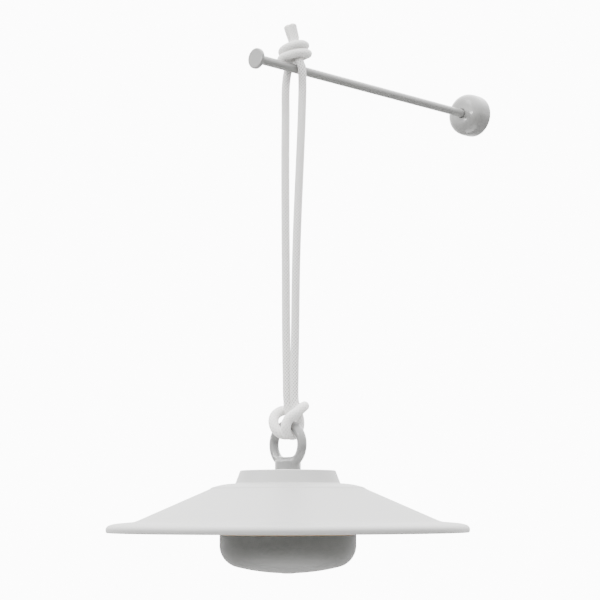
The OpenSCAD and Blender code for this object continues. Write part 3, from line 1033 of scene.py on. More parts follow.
@dataclass
class Studio:
    """The camera at the photograph's place, soft white light all round, and a pale floor far below."""

    lens: float = 98.4
    spot: Triple = (1.1004, -1.3869, -0.4277)
    azimuth: float = 44.66
    pitch: float = 7.297
    roll: float = 0.10
    floor_z: float = -2.2
    floor_hue: Colour = (0.78, 0.78, 0.78)
    paper: float = 12.0
    overhead: float = 4.3
    dome: float = 1.7
    below: float = 0.25
    behind: float = 1.9

    def camera(self) -> None:
        """Sets the camera where the photograph was taken from."""
        data = bpy.data.cameras.new("camera")
        data.lens, data.sensor_width, data.sensor_height = self.lens, 36.0, 36.0
        data.dof.use_dof = False
        data.clip_start, data.clip_end = 0.05, 50.0
        made = bpy.data.objects.new("camera", data)
        bpy.context.scene.collection.objects.link(made)
        turn, up = math.radians(self.azimuth), math.radians(self.pitch)
        ahead = Vector((-math.sin(turn) * math.cos(up), math.cos(turn) * math.cos(up), math.sin(up)))
        facing = ahead.to_track_quat("-Z", "Y").to_matrix().to_4x4()
        tilt = Matrix.Rotation(math.radians(-self.roll), 4, "Z")
        made.matrix_world = Matrix.Translation(self.spot) @ facing @ tilt
        bpy.context.scene.camera = made

    def lamp(self, name: str, spot: Triple, target: Triple, size: Pair, power: float) -> None:
        """Adds one soft light.

        Args:
            name: its name.
            spot: where it stands.
            target: the point it looks at.
            size: its width and height.
            power: its power in watts.
        """
        data = bpy.data.lights.new(name, "AREA")
        data.shape, data.energy = "RECTANGLE", power
        data.size, data.size_y = size
        made = bpy.data.objects.new(name, data)
        bpy.context.scene.collection.objects.link(made)
        made.location = spot
        made.rotation_mode = "QUATERNION"
        made.rotation_quaternion = (Vector(target) - Vector(spot)).to_track_quat("-Z", "Y")

    def sky(self) -> None:
        """Makes the light all round: bright above, dim below, paper behind, and white for the camera."""
        world = bpy.data.worlds.new("studio")
        world.use_nodes = True
        world.node_tree.nodes.clear()
        graph = Graph(world.node_tree)
        way = graph.node("ShaderNodeTexCoord", {}, {}, "Generated")
        x, y, up = graph.parts(way)
        turn = math.radians(self.azimuth)
        back = (y * math.cos(turn) - x * math.sin(turn)).rise(0.2, 0.8) * up.rise(-0.7, -0.2)
        above = up.rise(-0.1, 0.15) * self.dome + up.rise(0.3, 1.0) * self.overhead
        light = above + back * self.behind + self.below
        seen = graph.node("ShaderNodeLightPath", {}, {}, "Is Camera Ray")
        strength = light * (1.0 - seen) + seen * self.paper
        lit = graph.node("ShaderNodeBackground", {}, {"Color": (1.0, 1.0, 1.0, 1.0), "Strength": strength})
        graph.node("ShaderNodeOutputWorld", {}, {"Surface": lit}, None)
        bpy.context.scene.world = world

    def build(self) -> None:
        """Adds the sky, the lights and the floor."""
        self.sky()
        middle = (0.0, -0.25, -0.3)
        self.lamp("key", (-0.7, -1.9, 1.4), middle, (0.9, 0.9), 13.5)
        self.lamp("strip", (-0.95, -2.6, 0.55), middle, (1.5, 0.12), 27.0)
        floor = slab(
            round_rectangle(2600.0, 2600.0, 400.0),
            [(0.0, -20.0), (0.0, 0.0)],
            lambda p: p * MM + np.array([0.0, -0.25, self.floor_z]),
        ).to_object("floor")
        made = bpy.data.materials.new("floor_paper")
        made.use_nodes = True
        inputs = made.node_tree.nodes["Principled BSDF"].inputs
        inputs["Base Color"].default_value = (*self.floor_hue, 1.0)
        inputs["Roughness"].default_value = 0.8
        floor.data.materials.append(made)


# ---------------------------------------------------------------- the rope


@dataclass
class Rope:
    """One braided rope: knotted over the rod, two strands down, and a hitch round the eye."""

    diameter: float = 7.6
    sides: int = 44
    rings: int = 2200
    strands: int = 8
    lay: float = 28.0
    knot_turn: float = 45.0
    knot_y: float = LAMP_Y + 10
    strand_top: float = -18.0
    rod_r: float = 4.42
    rod_end_y: float = -330.0
    ring_r: float = 18.7
    wire_r: float = 4.57
    bar_z: float = BASE_Z + 100.95
    hitch_rise: float = 48.2
    seal: float = 2.2
    tip: float = 2.6
    braid_depth: float = 0.5
    knot_low: float = 3.0
    hitch_top: float = BASE_Z + 122.95
    knot_swell: float = 0.2
    hitch_swell: float = 0.8
    seal_height: float = 0.45
    # How much the painted valley shade is lessened in the knot and hitch, which paints them lighter.
    painted_knot_light: float = 0.4
    knot_front: Tuple[Triple, ...] = (
        (-3, -3, 44.5), (-1.4, -2.6, 37), (0, -2, 29), (-1.6, -1.4, 22.4), (-3, -0.4, 17),
        (-3.8, 0.8, 13.2), (-4.8, 4.4, 10.4), (-8.4, 6.2, 9.2), (-12, 4.2, 8.6), (-13, -0.8, 8.8),
        (-11.2, -5.6, 9.6), (-6.5, -9, 10.8), (1, -10.5, 12.6), (8.5, -8, 14), (12, -2.5, 14.6),
        (12.6, 2.6, 15.6), (11, 6.4, 15.8), (8, 8.4, 15), (4.8, 6.8, 12.6), (3.2, 2.6, 10.4),
        (3.2, -2.2, 8.2), (5.2, -5.2, 4.2), (6.8, -5.6, 0), (7.1, -5.5, -4),
    )
    knot_back: Tuple[Triple, ...] = (
        (-7.4, 4.8, 45.5), (-4.6, 6, 37), (-2, 8.4, 28.4), (-4.6, 10.8, 21.4), (-9.4, 9.6, 17.8),
        (-12, 3.6, 17), (-11, -3.2, 17.8), (-6.5, -8.6, 19.2), (0, -10.4, 21), (6.5, -7.9, 22.4),
        (9.8, -1.4, 23), (9.4, 5.4, 24.2), (6.8, 11.4, 23.4), (2.4, 15.2, 19), (-2.2, 15.8, 13),
        (-4.6, 13.4, 6.4), (-6.2, 9.8, 1.6), (-7.4, 6.4, -4),
    )
    strand_right: Tuple[Triple, ...] = (
        (7.8, 12.6, 0), (7.8, 11.5, 0.11), (7.8, 9.1, 0.26), (7.9, 5.4, 0.47), (7.9, 3.4, 0.63),
        (7.5, 2.4, 0.86), (6.8, 2.2, 1),
    )
    strand_left: Tuple[Triple, ...] = (
        (-8.3, 5.8, 0), (-7.6, 4.8, 0.11), (-6.8, 3.6, 0.26), (-6, 3, 0.47), (-5.4, 2.8, 0.63),
        (-4.6, 2.4, 0.86), (-3.6, 2.2, 1),
    )
    hitch_right: Tuple[Triple, ...] = (
        (6.4, 2.6, 23.6), (6.3, 5, 14.6), (6.2, 8.8, 5.6), (5.4, 9.8, -1.4), (4.9, 6.6, -8.4),
        (4.7, 0, -9.8), (5, -6.6, -7.8), (6.8, -9.6, -2.4), (8.6, -8.8, 3.4), (11.8, -6.4, 7.6),
        (15, -2, 11.6), (16, 3.6, 15.6), (13.4, 8.8, 17.4), (8.4, 12.8, 17.2), (0, 14, 16),
    )
    hitch_left: Tuple[Triple, ...] = (
        (-3.2, 2.6, 23.6), (-3.4, 5, 14.6), (-3.6, 8.8, 5.6), (-3.6, 9.8, -1.4), (-3.4, 6.6, -7.8),
        (-3.5, 0, -9.2), (-4, -6.4, -8), (-6.6, -9.4, -4.4), (-10.6, -8.6, 2.4), (-13.4, -4, 8.8),
        (-13.6, 3.4, 13.2), (-11, 10.4, 15), (-5.4, 13.8, 15.6),
    )

    def route(self) -> np.ndarray:
        """The rope's centre line from one tail to the other, in millimetres.

        The knot's points are turned about the vertical line beside the rod, the strands are spread over the
        height between knot and hitch, and the hitch stands on the eye's top bar.

        Returns:
            The points that the rope passes through.
        """
        turn = math.radians(self.knot_turn)
        cosine, sine = math.cos(turn), math.sin(turn)
        spin = np.array([[cosine, -sine, 0.0], [sine, cosine, 0.0], [0.0, 0.0, 1.0]])
        knot_at = np.array([0.0, self.knot_y, 0.0])
        bar_at = np.array([0.0, LAMP_Y, self.bar_z])
        low = self.bar_z + self.hitch_rise
        front, back = (np.array(p, float) @ spin.T + knot_at for p in (self.knot_front, self.knot_back))
        right, left = (
            np.array([[x, LAMP_Y + y, self.strand_top + (low - self.strand_top) * s] for x, y, s in p])
            for p in (self.strand_right, self.strand_left)
        )
        near, far = (np.array(p, float) + bar_at for p in (self.hitch_right, self.hitch_left))
        return np.vstack([front, right, near, far[::-1], left[::-1], back[::-1]])

    def relief(self, first: np.ndarray, second: np.ndarray) -> Tuple[np.ndarray, np.ndarray]:
        """The height of the braid where strand counts first and second cross.

        Each strand is a low arch across its width. It rides over and under the ones that it crosses as a
        cosine along its length, and the higher of the two strands is the surface.

        Args:
            first: the count of strands that wind one way.
            second: the count of strands that wind the other way.

        Returns:
            The height from 0 to 1, and 1 where the first kind of strand is on top.
        """

        def arch(count: np.ndarray) -> np.ndarray:
            """The arch across one strand."""
            return np.sqrt(1 - 0.95 * (2 * (count - np.floor(count)) - 1) ** 2)

        arched, woven = 0.68, 0.32
        one = arched * arch(first) + woven * np.cos(math.pi * (second - 0.5 + np.floor(first)))
        two = arched * arch(second) - woven * np.cos(math.pi * (first - 0.5 + np.floor(second)))
        return np.maximum(one, two), (one > two).astype(float)

    def pressed(self, points: np.ndarray) -> np.ndarray:
        """The rope's points, pressed flat where they would enter the rod or the eye's ring.

        A point nearer to the rod's axis than the rod's radius moves straight out to it. A point inside the
        ring's wire moves out from the circle that the wire follows.

        Args:
            points: rows of x, y and z in millimetres.

        Returns:
            The same rows, moved.
        """
        out = np.hypot(points[:, 0], points[:, 2])
        near = (out < self.rod_r) & (points[:, 1] > self.rod_end_y)
        points[near, ::2] *= (self.rod_r / np.maximum(out[near], 0.1))[:, None]
        spot = points - np.array([0.0, LAMP_Y, self.bar_z - self.ring_r])
        flat = np.hypot(spot[:, 0], spot[:, 2])
        core = spot * [1.0, 0.0, 1.0] * (self.ring_r / np.maximum(flat, 0.1))[:, None]
        away = np.linalg.norm(spot - core, axis=1)
        inside = away < self.wire_r
        points[inside] += ((spot - core) * (self.wire_r / np.maximum(away, 0.1) - 1)[:, None])[inside]
        return points

    def build(self) -> None:
        """Rings stand along the centre line. A point at angle a round a ring lies at the rope's radius, less
        the depth of the braid there. The rope is a little thicker in its knot and hitch, and the last
        millimetres of each tail round off to a sealed end.
        """
        line, run = even_line(smooth_line(self.route(), 24), self.rings)
        _, side, other = ring_frames(line)
        share = np.arange(self.sides) / self.sides
        above_zero = 4000.0
        first = self.strands * (share[None, :] + run[:, None] / self.lay)
        second = self.strands * (share[None, :] - run[:, None] / self.lay) + above_zero
        height, over = self.relief(first, second)
        to_end = np.minimum(run, run[-1] - run)[:, None]
        sealed = np.clip(1 - to_end / self.seal, 0, 1) ** 0.7
        height = height * (1 - sealed) + self.seal_height * sealed
        knot = np.clip((line[:, 2:] - self.knot_low) / 6, 0, 1)
        hitch = np.clip((self.hitch_top - line[:, 2:]) / 8, 0, 1)
        swell = self.hitch_swell * hitch + self.knot_swell * knot
        radius = self.diameter / 2 - 0.2 + self.braid_depth * height + swell
        radius = radius * np.sqrt(1 - 0.9 * np.clip(1 - to_end / self.tip, 0, 1) ** 2)
        angle = 2 * math.pi * share[None, :, None]
        around = side[:, None, :] * np.cos(angle) + other[:, None, :] * np.sin(angle)
        points = self.pressed((line[:, None, :] + radius[:, :, None] * around).reshape(-1, 3))
        quads, caps = grid_quads(self.rings, self.sides), end_fans(len(points), self.sides)
        rope = Skin(np.vstack([points, line[0], line[-1]]) * MM, quads, caps).to_object("rope")
        # Painted light: the relief is raised in the knot and hitch, so the painted valley shade there is
        # lighter.
        painted_shade_relief = height + (1 - height) * self.painted_knot_light * (knot + hitch)
        self.store(rope, first, second, over, painted_shade_relief, sealed * np.ones_like(height))
        dress(rope, Slot.ROPE_BRAID)
        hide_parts("rope_knot", "rope_loop")
        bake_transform(rope)
        LOG.info("rope: %.1f mm long", run[-1])

    def store(
        self, rope: bpy.types.Object, first: np.ndarray, second: np.ndarray, over: np.ndarray,
        height: np.ndarray, sealed: np.ndarray,
    ) -> None:
        """Stores on the mesh what the braid's finish reads.

        Args:
            rope: the rope.
            first: the strand counts one way, at each ring and side.
            second: the strand counts the other way.
            over: 1 where the first kind of strand is on top.
            height: the braid's height, which the finish paints as shade in the valleys, raised in the knot
                and hitch to paint them lighter.
            sealed: 1 where a tail is sealed.
        """
        mesh = rope.data
        for name, value in (("over", over), ("relief", height), ("sealed", sealed)):
            data = mesh.attributes.new(name, "FLOAT", "POINT")
            data.data.foreach_set("value", np.concatenate([value.ravel(), [0.5, 0.5]]).astype(np.float32))
        layer = mesh.uv_layers.new(name="braid")
        wrap = np.arange(self.sides + 1) / self.sides
        one = self.strands * wrap[None, :] + first[:, :1]
        two = self.strands * wrap[None, :] + second[:, :1]
        grid = np.stack([one, two], axis=2)
        quad = np.stack([grid[:-1, :-1], grid[:-1, 1:], grid[1:, 1:], grid[1:, :-1]], axis=2).reshape(-1, 2)
        rest = np.zeros((len(mesh.loops) - len(quad), 2))
        layer.data.foreach_set("uv", np.vstack([quad, rest]).astype(np.float32).ravel())


# ---------------------------------------------------------------- the wall arm


@dataclass
class WallArm:
    """The rod with its end disc, and the domed cover at the wall."""

    reach: float = 334.0
    rod_d: float = 8.8
    tip_d: float = 20.0
    tip_t: float = 4.0
    socket: float = 2.0
    cover_r: float = 22.6
    cover_h: float = 23.5
    cover_t: float = 2.0
    cover_wide: float = 6.4
    cover_power: float = 3.8
    bore: float = 10.0

    def rod(self) -> None:
        """Makes the rod: a long turned bar with a small chamfer at both hidden ends."""
        low, high, r, chamfer = 2.0, self.reach - self.tip_t + self.socket, self.rod_d / 2, 0.4
        run = np.linspace(low + 1.0, high - 1.0, 60)
        foot = [[0.0, low], [r - chamfer, low], [r, low + chamfer]]
        side = np.stack([np.full_like(run, r), run], axis=1)
        head = [[r, high - chamfer], [r - chamfer, high], [0.0, high]]
        bar = turned(np.vstack([foot, side, head]), Seat.WALL, False, 96)
        finished(bar, "arm_rod_bar", Slot.BRACKET_PAINT, Body.ARM, "arm_rod")

    def disc(self) -> None:
        """Makes the end disc: rounded at both edges, with a socket for the rod."""
        r, low, high, hole = self.tip_d / 2, self.reach - self.tip_t, self.reach, self.rod_d / 2 + 0.05
        deep = low + self.socket
        profile = round_corners(
            [(0.0, deep), (hole, deep), (hole, low), (r, low), (r, high), (0.0, high)],
            [0.0, 0.0, 0.15, 1.1, 1.1, 0.0], False, 8,
        )
        profile = np.vstack([profile[:-1], [[r * 0.5, high], [r * 0.25, high]], profile[-1:]])
        disc = turned(profile, Seat.WALL, False, 160)
        finished(disc, "end_disc", Slot.BRACKET_PAINT, Body.ARM, "arm_end_disc")

    def cover(self) -> None:
        """Makes the wall cover: a thin boxy dome with a hole for the rod.

        The outer line has radius R (1 - u^p)^(1/p), where u is the share of the depth past the widest place
        and p is the power. The inner line lies one wall thickness inside it.
        """
        r, wide, power, hole = self.cover_r, self.cover_wide, self.cover_power, self.bore / 2
        u = 0.985 * np.sin(np.linspace(0, math.pi / 2, 60))
        dome = np.stack([r * (1 - u**power) ** (1 / power), wide + (self.cover_h - wide) * u], axis=1)
        dome = dome[dome[:, 0] > hole + 1.2]
        high, low = dome[-1, 1] + 0.03, dome[-1, 1] - self.cover_t
        foot = smooth_line([(r - 0.35, 0.6), (r - 0.1, 3.0), (r, wide)], 6)
        outer = np.vstack([foot[:-1], dome, [[hole + 0.6, high]]])
        inner = inset_line(outer, self.cover_t)
        inner = inner[inner[:, 0] > hole + 0.8][::-1]
        edge = [(hole + 0.7, high), (hole, high), (hole, low), (hole + 0.7, low)]
        lip = round_corners(edge, [0.0, 0.4, 0.3, 0.0], False)
        rim = [[r - 2.0, 0.4], [r - 0.6, 0.4]]
        profile = np.vstack([rim, outer, lip[1:-1], inner, [[r - 2.35, 0.7]]])
        shell = turned(profile, Seat.WALL, True)
        finished(shell, "wall_cover_dome", Slot.BRACKET_PAINT, Body.COVER, "wall_cover")

    def build(self) -> None:
        """Makes the rod, the disc and the cover."""
        self.rod()
        self.disc()
        self.cover()


# ---------------------------------------------------------------- the lamp


@dataclass
class Eye:
    """The eye that the rope is hitched to: ring, web and collar in one casting, with its shank."""

    ring_r: float = 18.7
    wire_r: float = 4.55
    centre_h: float = 82.25
    collar_r: float = 12.3
    collar_low: float = 58.9
    collar_top: float = 66.9
    web_t: float = 7.1
    web_top: float = 70.5
    shank_r: float = 3.95
    shank_low: float = 41.4

    def distance(self, p: np.ndarray) -> np.ndarray:
        """The distance from rows of x, y and height to the casting, negative inside.

        Ring, web and collar are joined by a smooth minimum, which leaves a fillet between them, and the
        whole is cut flat under the collar.

        Args:
            p: rows of x, y and height in millimetres.

        Returns:
            One distance to a row.
        """
        x, y, h = p[:, 0], p[:, 1], p[:, 2]
        out = np.hypot(x, h - self.centre_h)
        ring = np.hypot(out - self.ring_r, y) - self.wire_r
        web = np.maximum(np.maximum(np.abs(y) - self.web_t / 2, out - self.ring_r), h - self.web_top)
        edge = 0.7
        middle, half = (self.collar_low + self.collar_top) / 2, (self.collar_top - self.collar_low) / 2
        dr = np.hypot(x, y) - (self.collar_r - edge)
        dh = np.abs(h - middle) - (half - edge)
        collar = np.hypot(np.maximum(dr, 0), np.maximum(dh, 0)) + np.minimum(np.maximum(dr, dh), 0) - edge

        def join(a: np.ndarray, b: np.ndarray, k: float) -> np.ndarray:
            """The smooth minimum of two distances, with a fillet of about k."""
            t = np.clip(0.5 + 0.5 * (b - a) / k, 0, 1)
            return b + (a - b) * t - k * t * (1 - t)

        whole = join(join(ring, web, 2.2), collar, 2.4)
        return np.maximum(whole, self.collar_low - h)

    def build(self) -> None:
        """Makes the casting as a net over its zero distance, and the shank as a turned bar."""
        reach, deep = self.ring_r + self.wire_r + 1.0, 13.9
        under, over = self.collar_low - 0.9, self.centre_h + reach
        points, quads = level_skin(self.distance, (-reach, -deep, under), (reach, deep, over), 0.5)
        finished(Skin(Seat.LAMP.place(points), quads), "eye_ring", Slot.EYE_PAINT, Body.LAMP, "eye_bolt")
        r, low, high = self.shank_r, self.shank_low, self.collar_low + 0.5
        profile = np.array([[0, low], [r - 0.8, low], [r, low + 0.8], [r, high], [0, high]])
        finished(turned(profile, Seat.LAMP, False, 96), "eye_shank", Slot.SCREW_STEEL, Body.LAMP)


@dataclass
class Spacer:
    """The pale low disc between the eye's collar and the shade."""

    radius: float = 13.0
    low: float = 57.9
    high: float = 58.9
    bore: float = 4.0

    def build(self) -> None:
        """Makes the disc, with a small round along both edges."""
        r, low, high, hole = self.radius, self.low, self.high, self.bore
        profile = round_corners(
            [(hole, low), (r, low), (r, high), (hole, high)], [0.0, 0.25, 0.4, 0.0], True
        )
        disc = turned(profile, Seat.LAMP, True, 160)
        finished(disc, "spacer_disc", Slot.SPACER_PLASTIC, Body.LAMP, "eye_spacer")


@dataclass
class Shade:
    """The wide sheet-metal shade: a turned-down lip, a flat brim, a cone and a raised cap."""

    thickness: float = 2.0
    bore: float = 4.0
    brim: Tuple[Pair, ...] = (
        (169, 0), (169.7, 0.6), (170, 2), (170, 3.6), (169.6, 4.8), (168.6, 6), (167, 7), (164.5, 7.8),
        (161, 8.5), (155, 9.1), (149, 9.6), (145.2, 9.95), (142.8, 10.5), (140.2, 11.4),
    )
    shoulder: Tuple[Pair, ...] = (
        (75.2, 39.8), (73.6, 40.6), (71.8, 41.9), (69, 42.8), (66.2, 43.5), (63.4, 44.2), (60.6, 44.7),
        (57.8, 45.1), (54.9, 45.4),
    )
    step_foot: Pair = (49.5, 45.7)
    step_top: Pair = (44.9, 57.9)

    def outer(self) -> np.ndarray:
        """The outer line, from the lip in to the edge of the bore.

        Brim and shoulder are smooth curves, the cone between them is straight, and the raised cap has a
        filleted foot and a rounded edge.

        Returns:
            Rows of radius and height.
        """
        brim, shoulder = smooth_line(self.brim, 6), smooth_line(self.shoulder, 6)
        share = np.linspace(0, 1, 12)[1:-1, None]
        cone = brim[-1] + (shoulder[0] - brim[-1]) * share
        top = self.step_top[1]
        step = [tuple(shoulder[-1]), self.step_foot, self.step_top, (self.bore, top)]
        cap = round_corners(step, [0, 1.3, 1.6, 0], False, 8)
        flat = np.stack([np.linspace(38, self.bore, 8), np.full(8, top)], axis=1)
        return np.vstack([brim, cone, shoulder[:-1], cap[:-1], flat])

    def build(self) -> None:
        """Makes the shade as one closed shell."""
        outer = self.outer()
        inner = inset_line(outer, self.thickness)
        inner[-1, 0] = self.bore
        inner = inner[inner[:, 1] > 0.5][::-1]
        lip = np.array([[167.98, 0.5], [168.05, 0.15], [168.3, 0.0], [168.7, 0.0]])
        sheet = turned(np.vstack([lip, outer, inner]), Seat.LAMP, True, 288)
        finished(sheet, "shade_sheet", Slot.SHADE_PAINT, Body.LAMP, "shade")


def across_hinge(y: float, height: float, x: float = 0.0) -> Placing:
    """Lays a flat piece across the hinge of the port, so that its own height runs along x.

    Args:
        y: the distance of its middle from the lamp's axis, toward the wall.
        height: the height of its middle.
        x: the place of its own height 0.

    Returns:
        A function that moves rows of x, y, z in millimetres to their place.
    """
    return lambda p: Seat.LAMP.place(np.stack([x + p[:, 2], y + p[:, 0], height + p[:, 1]], axis=1))


@dataclass
class Bowl:
    """The round battery body: side, round corner and shallow dome, with a port window and a button hole."""

    radius: float = 64.2
    top: float = -2.4
    depth: float = 37.8
    wall: float = 2.5
    corner_r: float = 21.0
    corner_h: float = -11.5
    hole_r: float = 6.3
    window_w: float = 10.8
    window_low: float = -10.2
    window_high: float = -5.0
    window_cols: int = 8
    gap_h: float = -3.8
    pin_h: float = -14.6
    lug_x: float = 5.0
    sides: int = 288

    def line(self, inset: float) -> np.ndarray:
        """The bowl's line at a depth inside its outer face, from the button hole out and up to the side.

        The dome's radius follows from the depth of the bowl, and dome and corner meet with no kink.

        Args:
            inset: the distance inside the outer face.

        Returns:
            Rows of radius and height, up to the foot of the side.
        """
        across = self.radius - self.corner_r
        down = self.depth + self.corner_h
        dome_r = (across**2 + down**2 - self.corner_r**2) / (2 * (down - self.corner_r))
        dome_h = dome_r - self.depth
        meet = math.asin(across / (dome_r - self.corner_r))
        start = math.asin((self.hole_r + 0.5) / (dome_r - inset))
        a = np.linspace(start, meet, 24)[:-1]
        dome = np.stack([(dome_r - inset) * np.sin(a), dome_h - (dome_r - inset) * np.cos(a)], axis=1)
        b = np.linspace(-math.pi / 2 + meet, 0.0, 40)
        r = self.corner_r - inset
        corner = np.stack([across + r * np.cos(b), self.corner_h + r * np.sin(b)], axis=1)
        return np.vstack([dome, corner])

    def angles(self) -> np.ndarray:
        """The angles of the grid's columns, of which the first and the last of the window lie on its sides.

        Returns:
            The angles in radians, with the window's columns first.
        """
        half = math.asin(self.window_w / 2 / self.radius)
        gap = np.linspace(-half, half, self.window_cols + 1)
        free = np.linspace(half, 2 * math.pi - half, self.sides - self.window_cols + 1)[1:-1]
        return np.concatenate([gap, free]) + math.pi / 2

    def shell(self) -> None:
        """Makes the bowl, with the port window cut through both of its faces.

        Two rings of the grid lie on the window's upper and lower edges. The cells between them are left out
        of the outer and the inner face, and four walls join the two openings.
        """
        r, top, hole = self.radius, self.top, self.hole_r
        middle_h = (self.window_low + self.window_high) / 2
        levels = (self.window_low, middle_h, self.window_high, self.gap_h, top - 0.35)
        rise = np.array([[r, h] for h in levels])
        outer = np.vstack([self.line(0.0), rise])
        inner = np.vstack([self.line(self.wall), rise - [self.wall, 0]])
        rim = [[r - 0.1, top - 0.1], [r - 0.35, top], [r - self.wall + 0.3, top]]
        under, over = outer[0, 1], inner[0, 1]
        mouth = [[hole, over - 0.1], [hole, under + 0.35], [hole + 0.12, under + 0.1]]
        profile = np.vstack([outer, rim, inner[::-1], mouth])
        angle = self.angles()
        rows, cols, gap = len(profile), len(angle), self.window_cols
        on_side = outer[:, 0] > r - 0.01
        low = int(np.argmin(np.where(on_side, np.abs(outer[:, 1] - self.window_low), np.inf)))
        high = int(np.argmin(np.abs(outer[:, 1] - self.window_high)))
        last = len(outer) + len(rim) + len(inner) - 1
        back_low, back_high = last - low, last - high
        keep = np.ones((rows, cols), bool)
        keep[low:high, :gap] = False
        keep[back_high:back_low, :gap] = False
        faces = [grid_quads(rows, cols, rows_closed=True).reshape(rows, cols, 4)[keep]]

        def add_side(corners: Sequence[Tuple[Index, Index]], flipped: bool) -> None:
            """Adds the quads of one side of the window, whose four corners are given by row and column."""
            quad = np.stack([row * cols + col for row, col in corners], axis=1)
            faces.append(quad[:, ::-1] if flipped else quad)

        span, up = np.arange(gap), np.arange(high - low)
        for front, back, flipped in ((low, back_low, False), (high, back_high, True)):
            add_side([(front, span), (front, span + 1), (back, span + 1), (back, span)], flipped)
        front, back = low + up, back_low - up
        for col, flipped in ((0, True), (gap, False)):
            add_side([(front, col), (front + 1, col), (back - 1, col), (back, col)], flipped)
        skin = Skin(Seat.LAMP.place(spun(profile, angle)), np.vstack(faces))
        finished(skin, "bowl_shell", Slot.BODY_PLASTIC, Body.LAMP, "lower_bowl")

    def lugs(self) -> None:
        """Makes the two lugs that hold the flap's pin."""
        corners = [(-1.5, -1.3), (2.8, -1.3), (2.8, 1.3), (-1.5, 1.3)]
        outline = round_corners(corners, [0.2, 1.2, 1.2, 0.2], True, 8)
        rise = [(0.2, -1.0), (0.0, -0.8), (0.0, 0.8), (0.2, 1.0)]
        for name, x in (("lug_left", -self.lug_x), ("lug_right", self.lug_x)):
            lug = slab(outline, rise, across_hinge(self.radius, self.pin_h, x))
            finished(lug, name, Slot.BODY_PLASTIC, Body.LAMP)

    def build(self) -> None:
        """Makes the bowl and its two lugs."""
        self.shell()
        self.lugs()


@dataclass
class Diffuser:
    """The frosted ring over the light chips, between the bowl's rim and the neck."""

    line: Tuple[Pair, ...] = (
        (63.6, -1.6), (63.6, 2), (62.6, 4), (59.8, 6.2), (55.2, 8.6), (48.2, 11.2), (40.2, 13.2), (34.2, 14),
    )
    thickness: float = 2.4
    bore: float = 25.2

    def build(self) -> None:
        """Makes the ring as one closed shell."""
        top = 14.0
        outer = np.vstack([smooth_line(self.line, 8), [[30.0, top], [self.bore + 0.3, top]]])
        inner = inset_line(outer, self.thickness)
        inner = inner[inner[:, 1] > outer[0, 1] + 0.1][::-1]
        end = [[self.bore, top - 0.3], [self.bore, top - self.thickness]]
        foot = outer[0] - [[self.thickness, 0.0], [0.3, 0.0]]
        outer[0, 1] += 0.1
        shell = turned(np.vstack([foot, outer, end, inner]), Seat.LAMP, True)
        finished(shell, "diffuser_shell", Slot.LENS_PLASTIC, Body.LAMP, "diffuser_ring")


@dataclass
class Button:
    """The soft push button under the body: a dished face in a round rim, on a hidden flange."""

    radius: float = 6.0
    face: float = -38.1
    dish_r: float = 4.6
    dish_depth: float = 0.3
    flange_r: float = 8.0
    flange_low: float = -34.6
    flange_top: float = -33.4

    def build(self) -> None:
        """Makes the button as one turned body."""
        r, face, wide, low, high = self.radius, self.face, self.flange_r, self.flange_low, self.flange_top
        steps = (0.0, 1.2, 2.3, 3.5, self.dish_r)
        dish = [(x, face + self.dish_depth * (1 - (x / self.dish_r) ** 2)) for x in steps]
        rim = [[5.0, face], [5.5, face], [r - 0.15, face + 0.12], [r, face + 0.4]]
        under = [[r, low], [wide - 0.2, low], [wide, low + 0.2]]
        over = [[wide, high - 0.2], [wide - 0.2, high], [0.0, high]]
        button = turned(np.vstack([dish, rim, under, over]), Seat.LAMP, False, 128)
        finished(button, "button_face", Slot.BODY_PLASTIC, Body.BUTTON, "button_cap")


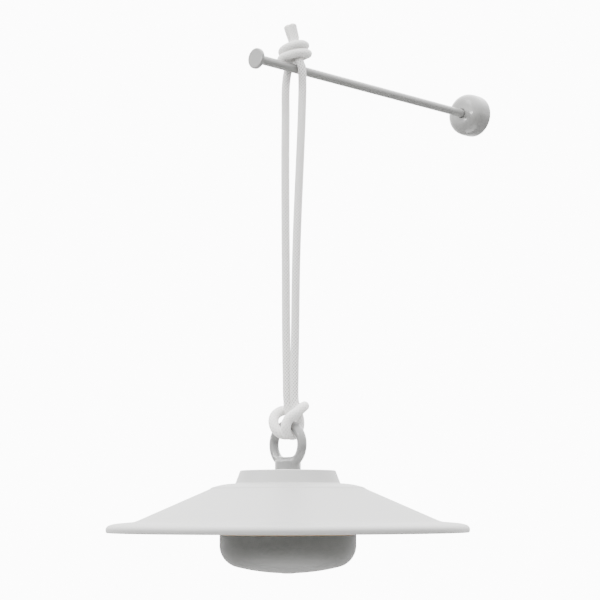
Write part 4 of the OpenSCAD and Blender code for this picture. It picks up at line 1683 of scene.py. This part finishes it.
@dataclass
class PortFlap:
    """The rubber flap over the charging socket: a plate with a plug, a strap and a hinge pin."""

    body_r: float = 64.2
    port_h: float = -8.0
    pin_h: float = -14.6
    pin_r: float = 0.6

    def on_side(self, middle_h: float, base: float) -> Placing:
        """Stands a flat piece against the bowl's side, facing the wall.

        Args:
            middle_h: the height of its middle.
            base: the distance of its lower face from the lamp's axis.

        Returns:
            A function that moves rows of x, y, z in millimetres to their place.
        """
        return lambda p: Seat.LAMP.place(np.stack([-p[:, 0], base + p[:, 2], middle_h + p[:, 1]], axis=1))

    def build(self) -> None:
        """Makes the flap as one piece of four closed bodies."""
        low, high = self.pin_h + 1.8, self.port_h + 4.6
        base = self.body_r + 0.3
        plate = slab(
            round_rectangle(15.0, high - low, 1.6),
            [(0.15, 0.0), (0.0, 0.15), (0.0, 0.8), (0.15, 1.1), (0.45, 1.25), (0.9, 1.3)],
            self.on_side((low + high) / 2, base),
        )
        plug = slab(
            round_rectangle(9.2, 3.2, 1.4), [(0.3, -1.2), (0.0, -0.9), (0.0, 0.4)],
            self.on_side(self.port_h, base),
        )
        strap = slab(
            round_rectangle(7.0, 3.0, 0.4), [(0.1, 0.0), (0.0, 0.1), (0.0, 0.8), (0.1, 0.9)],
            self.on_side(self.pin_h + 0.9, self.body_r + 0.7),
        )
        angle = np.arange(24) * 2 * math.pi / 24
        pin = slab(
            self.pin_r * np.stack([np.cos(angle), np.sin(angle)], axis=1),
            [(0.15, -6.2), (0.0, -6.05), (0.0, 6.05), (0.15, 6.2)],
            across_hinge(self.body_r + 1.5, self.pin_h),
        )
        finished(plate + plug + strap + pin, "port_flap", Slot.DARK_RUBBER, Body.FLAP, "port_cover")


@dataclass
class KeptNodes:
    """The CAD nodes whose shape stays, with better materials."""

    frame: Dict[str, object]

    def build(self) -> None:
        """Gives every CAD node the finish of its slot."""
        for row in self.frame["record"]["subparts"]:
            node = self.frame["nodes"][row["node"]]
            finish = FINISHES[Slot(row["material_slot"])].build()
            if not node.material_slots:
                node.data.materials.append(finish)
            for held in node.material_slots:
                held.material = finish
        LOG.info("kept nodes: %d dressed", len(self.frame["nodes"]))


def main() -> None:
    """Builds the whole picture, in order."""
    logging.basicConfig(level=logging.INFO, format="%(name)s: %(message)s")
    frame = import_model()
    studio = Studio()
    studio.camera()
    Rope().build()
    KeptNodes(frame).build()
    WallArm().build()
    Eye().build()
    Spacer().build()
    Shade().build()
    Bowl().build()
    Diffuser().build()
    Button().build()
    PortFlap().build()
    studio.build()


if __name__ == "__main__":
    main()
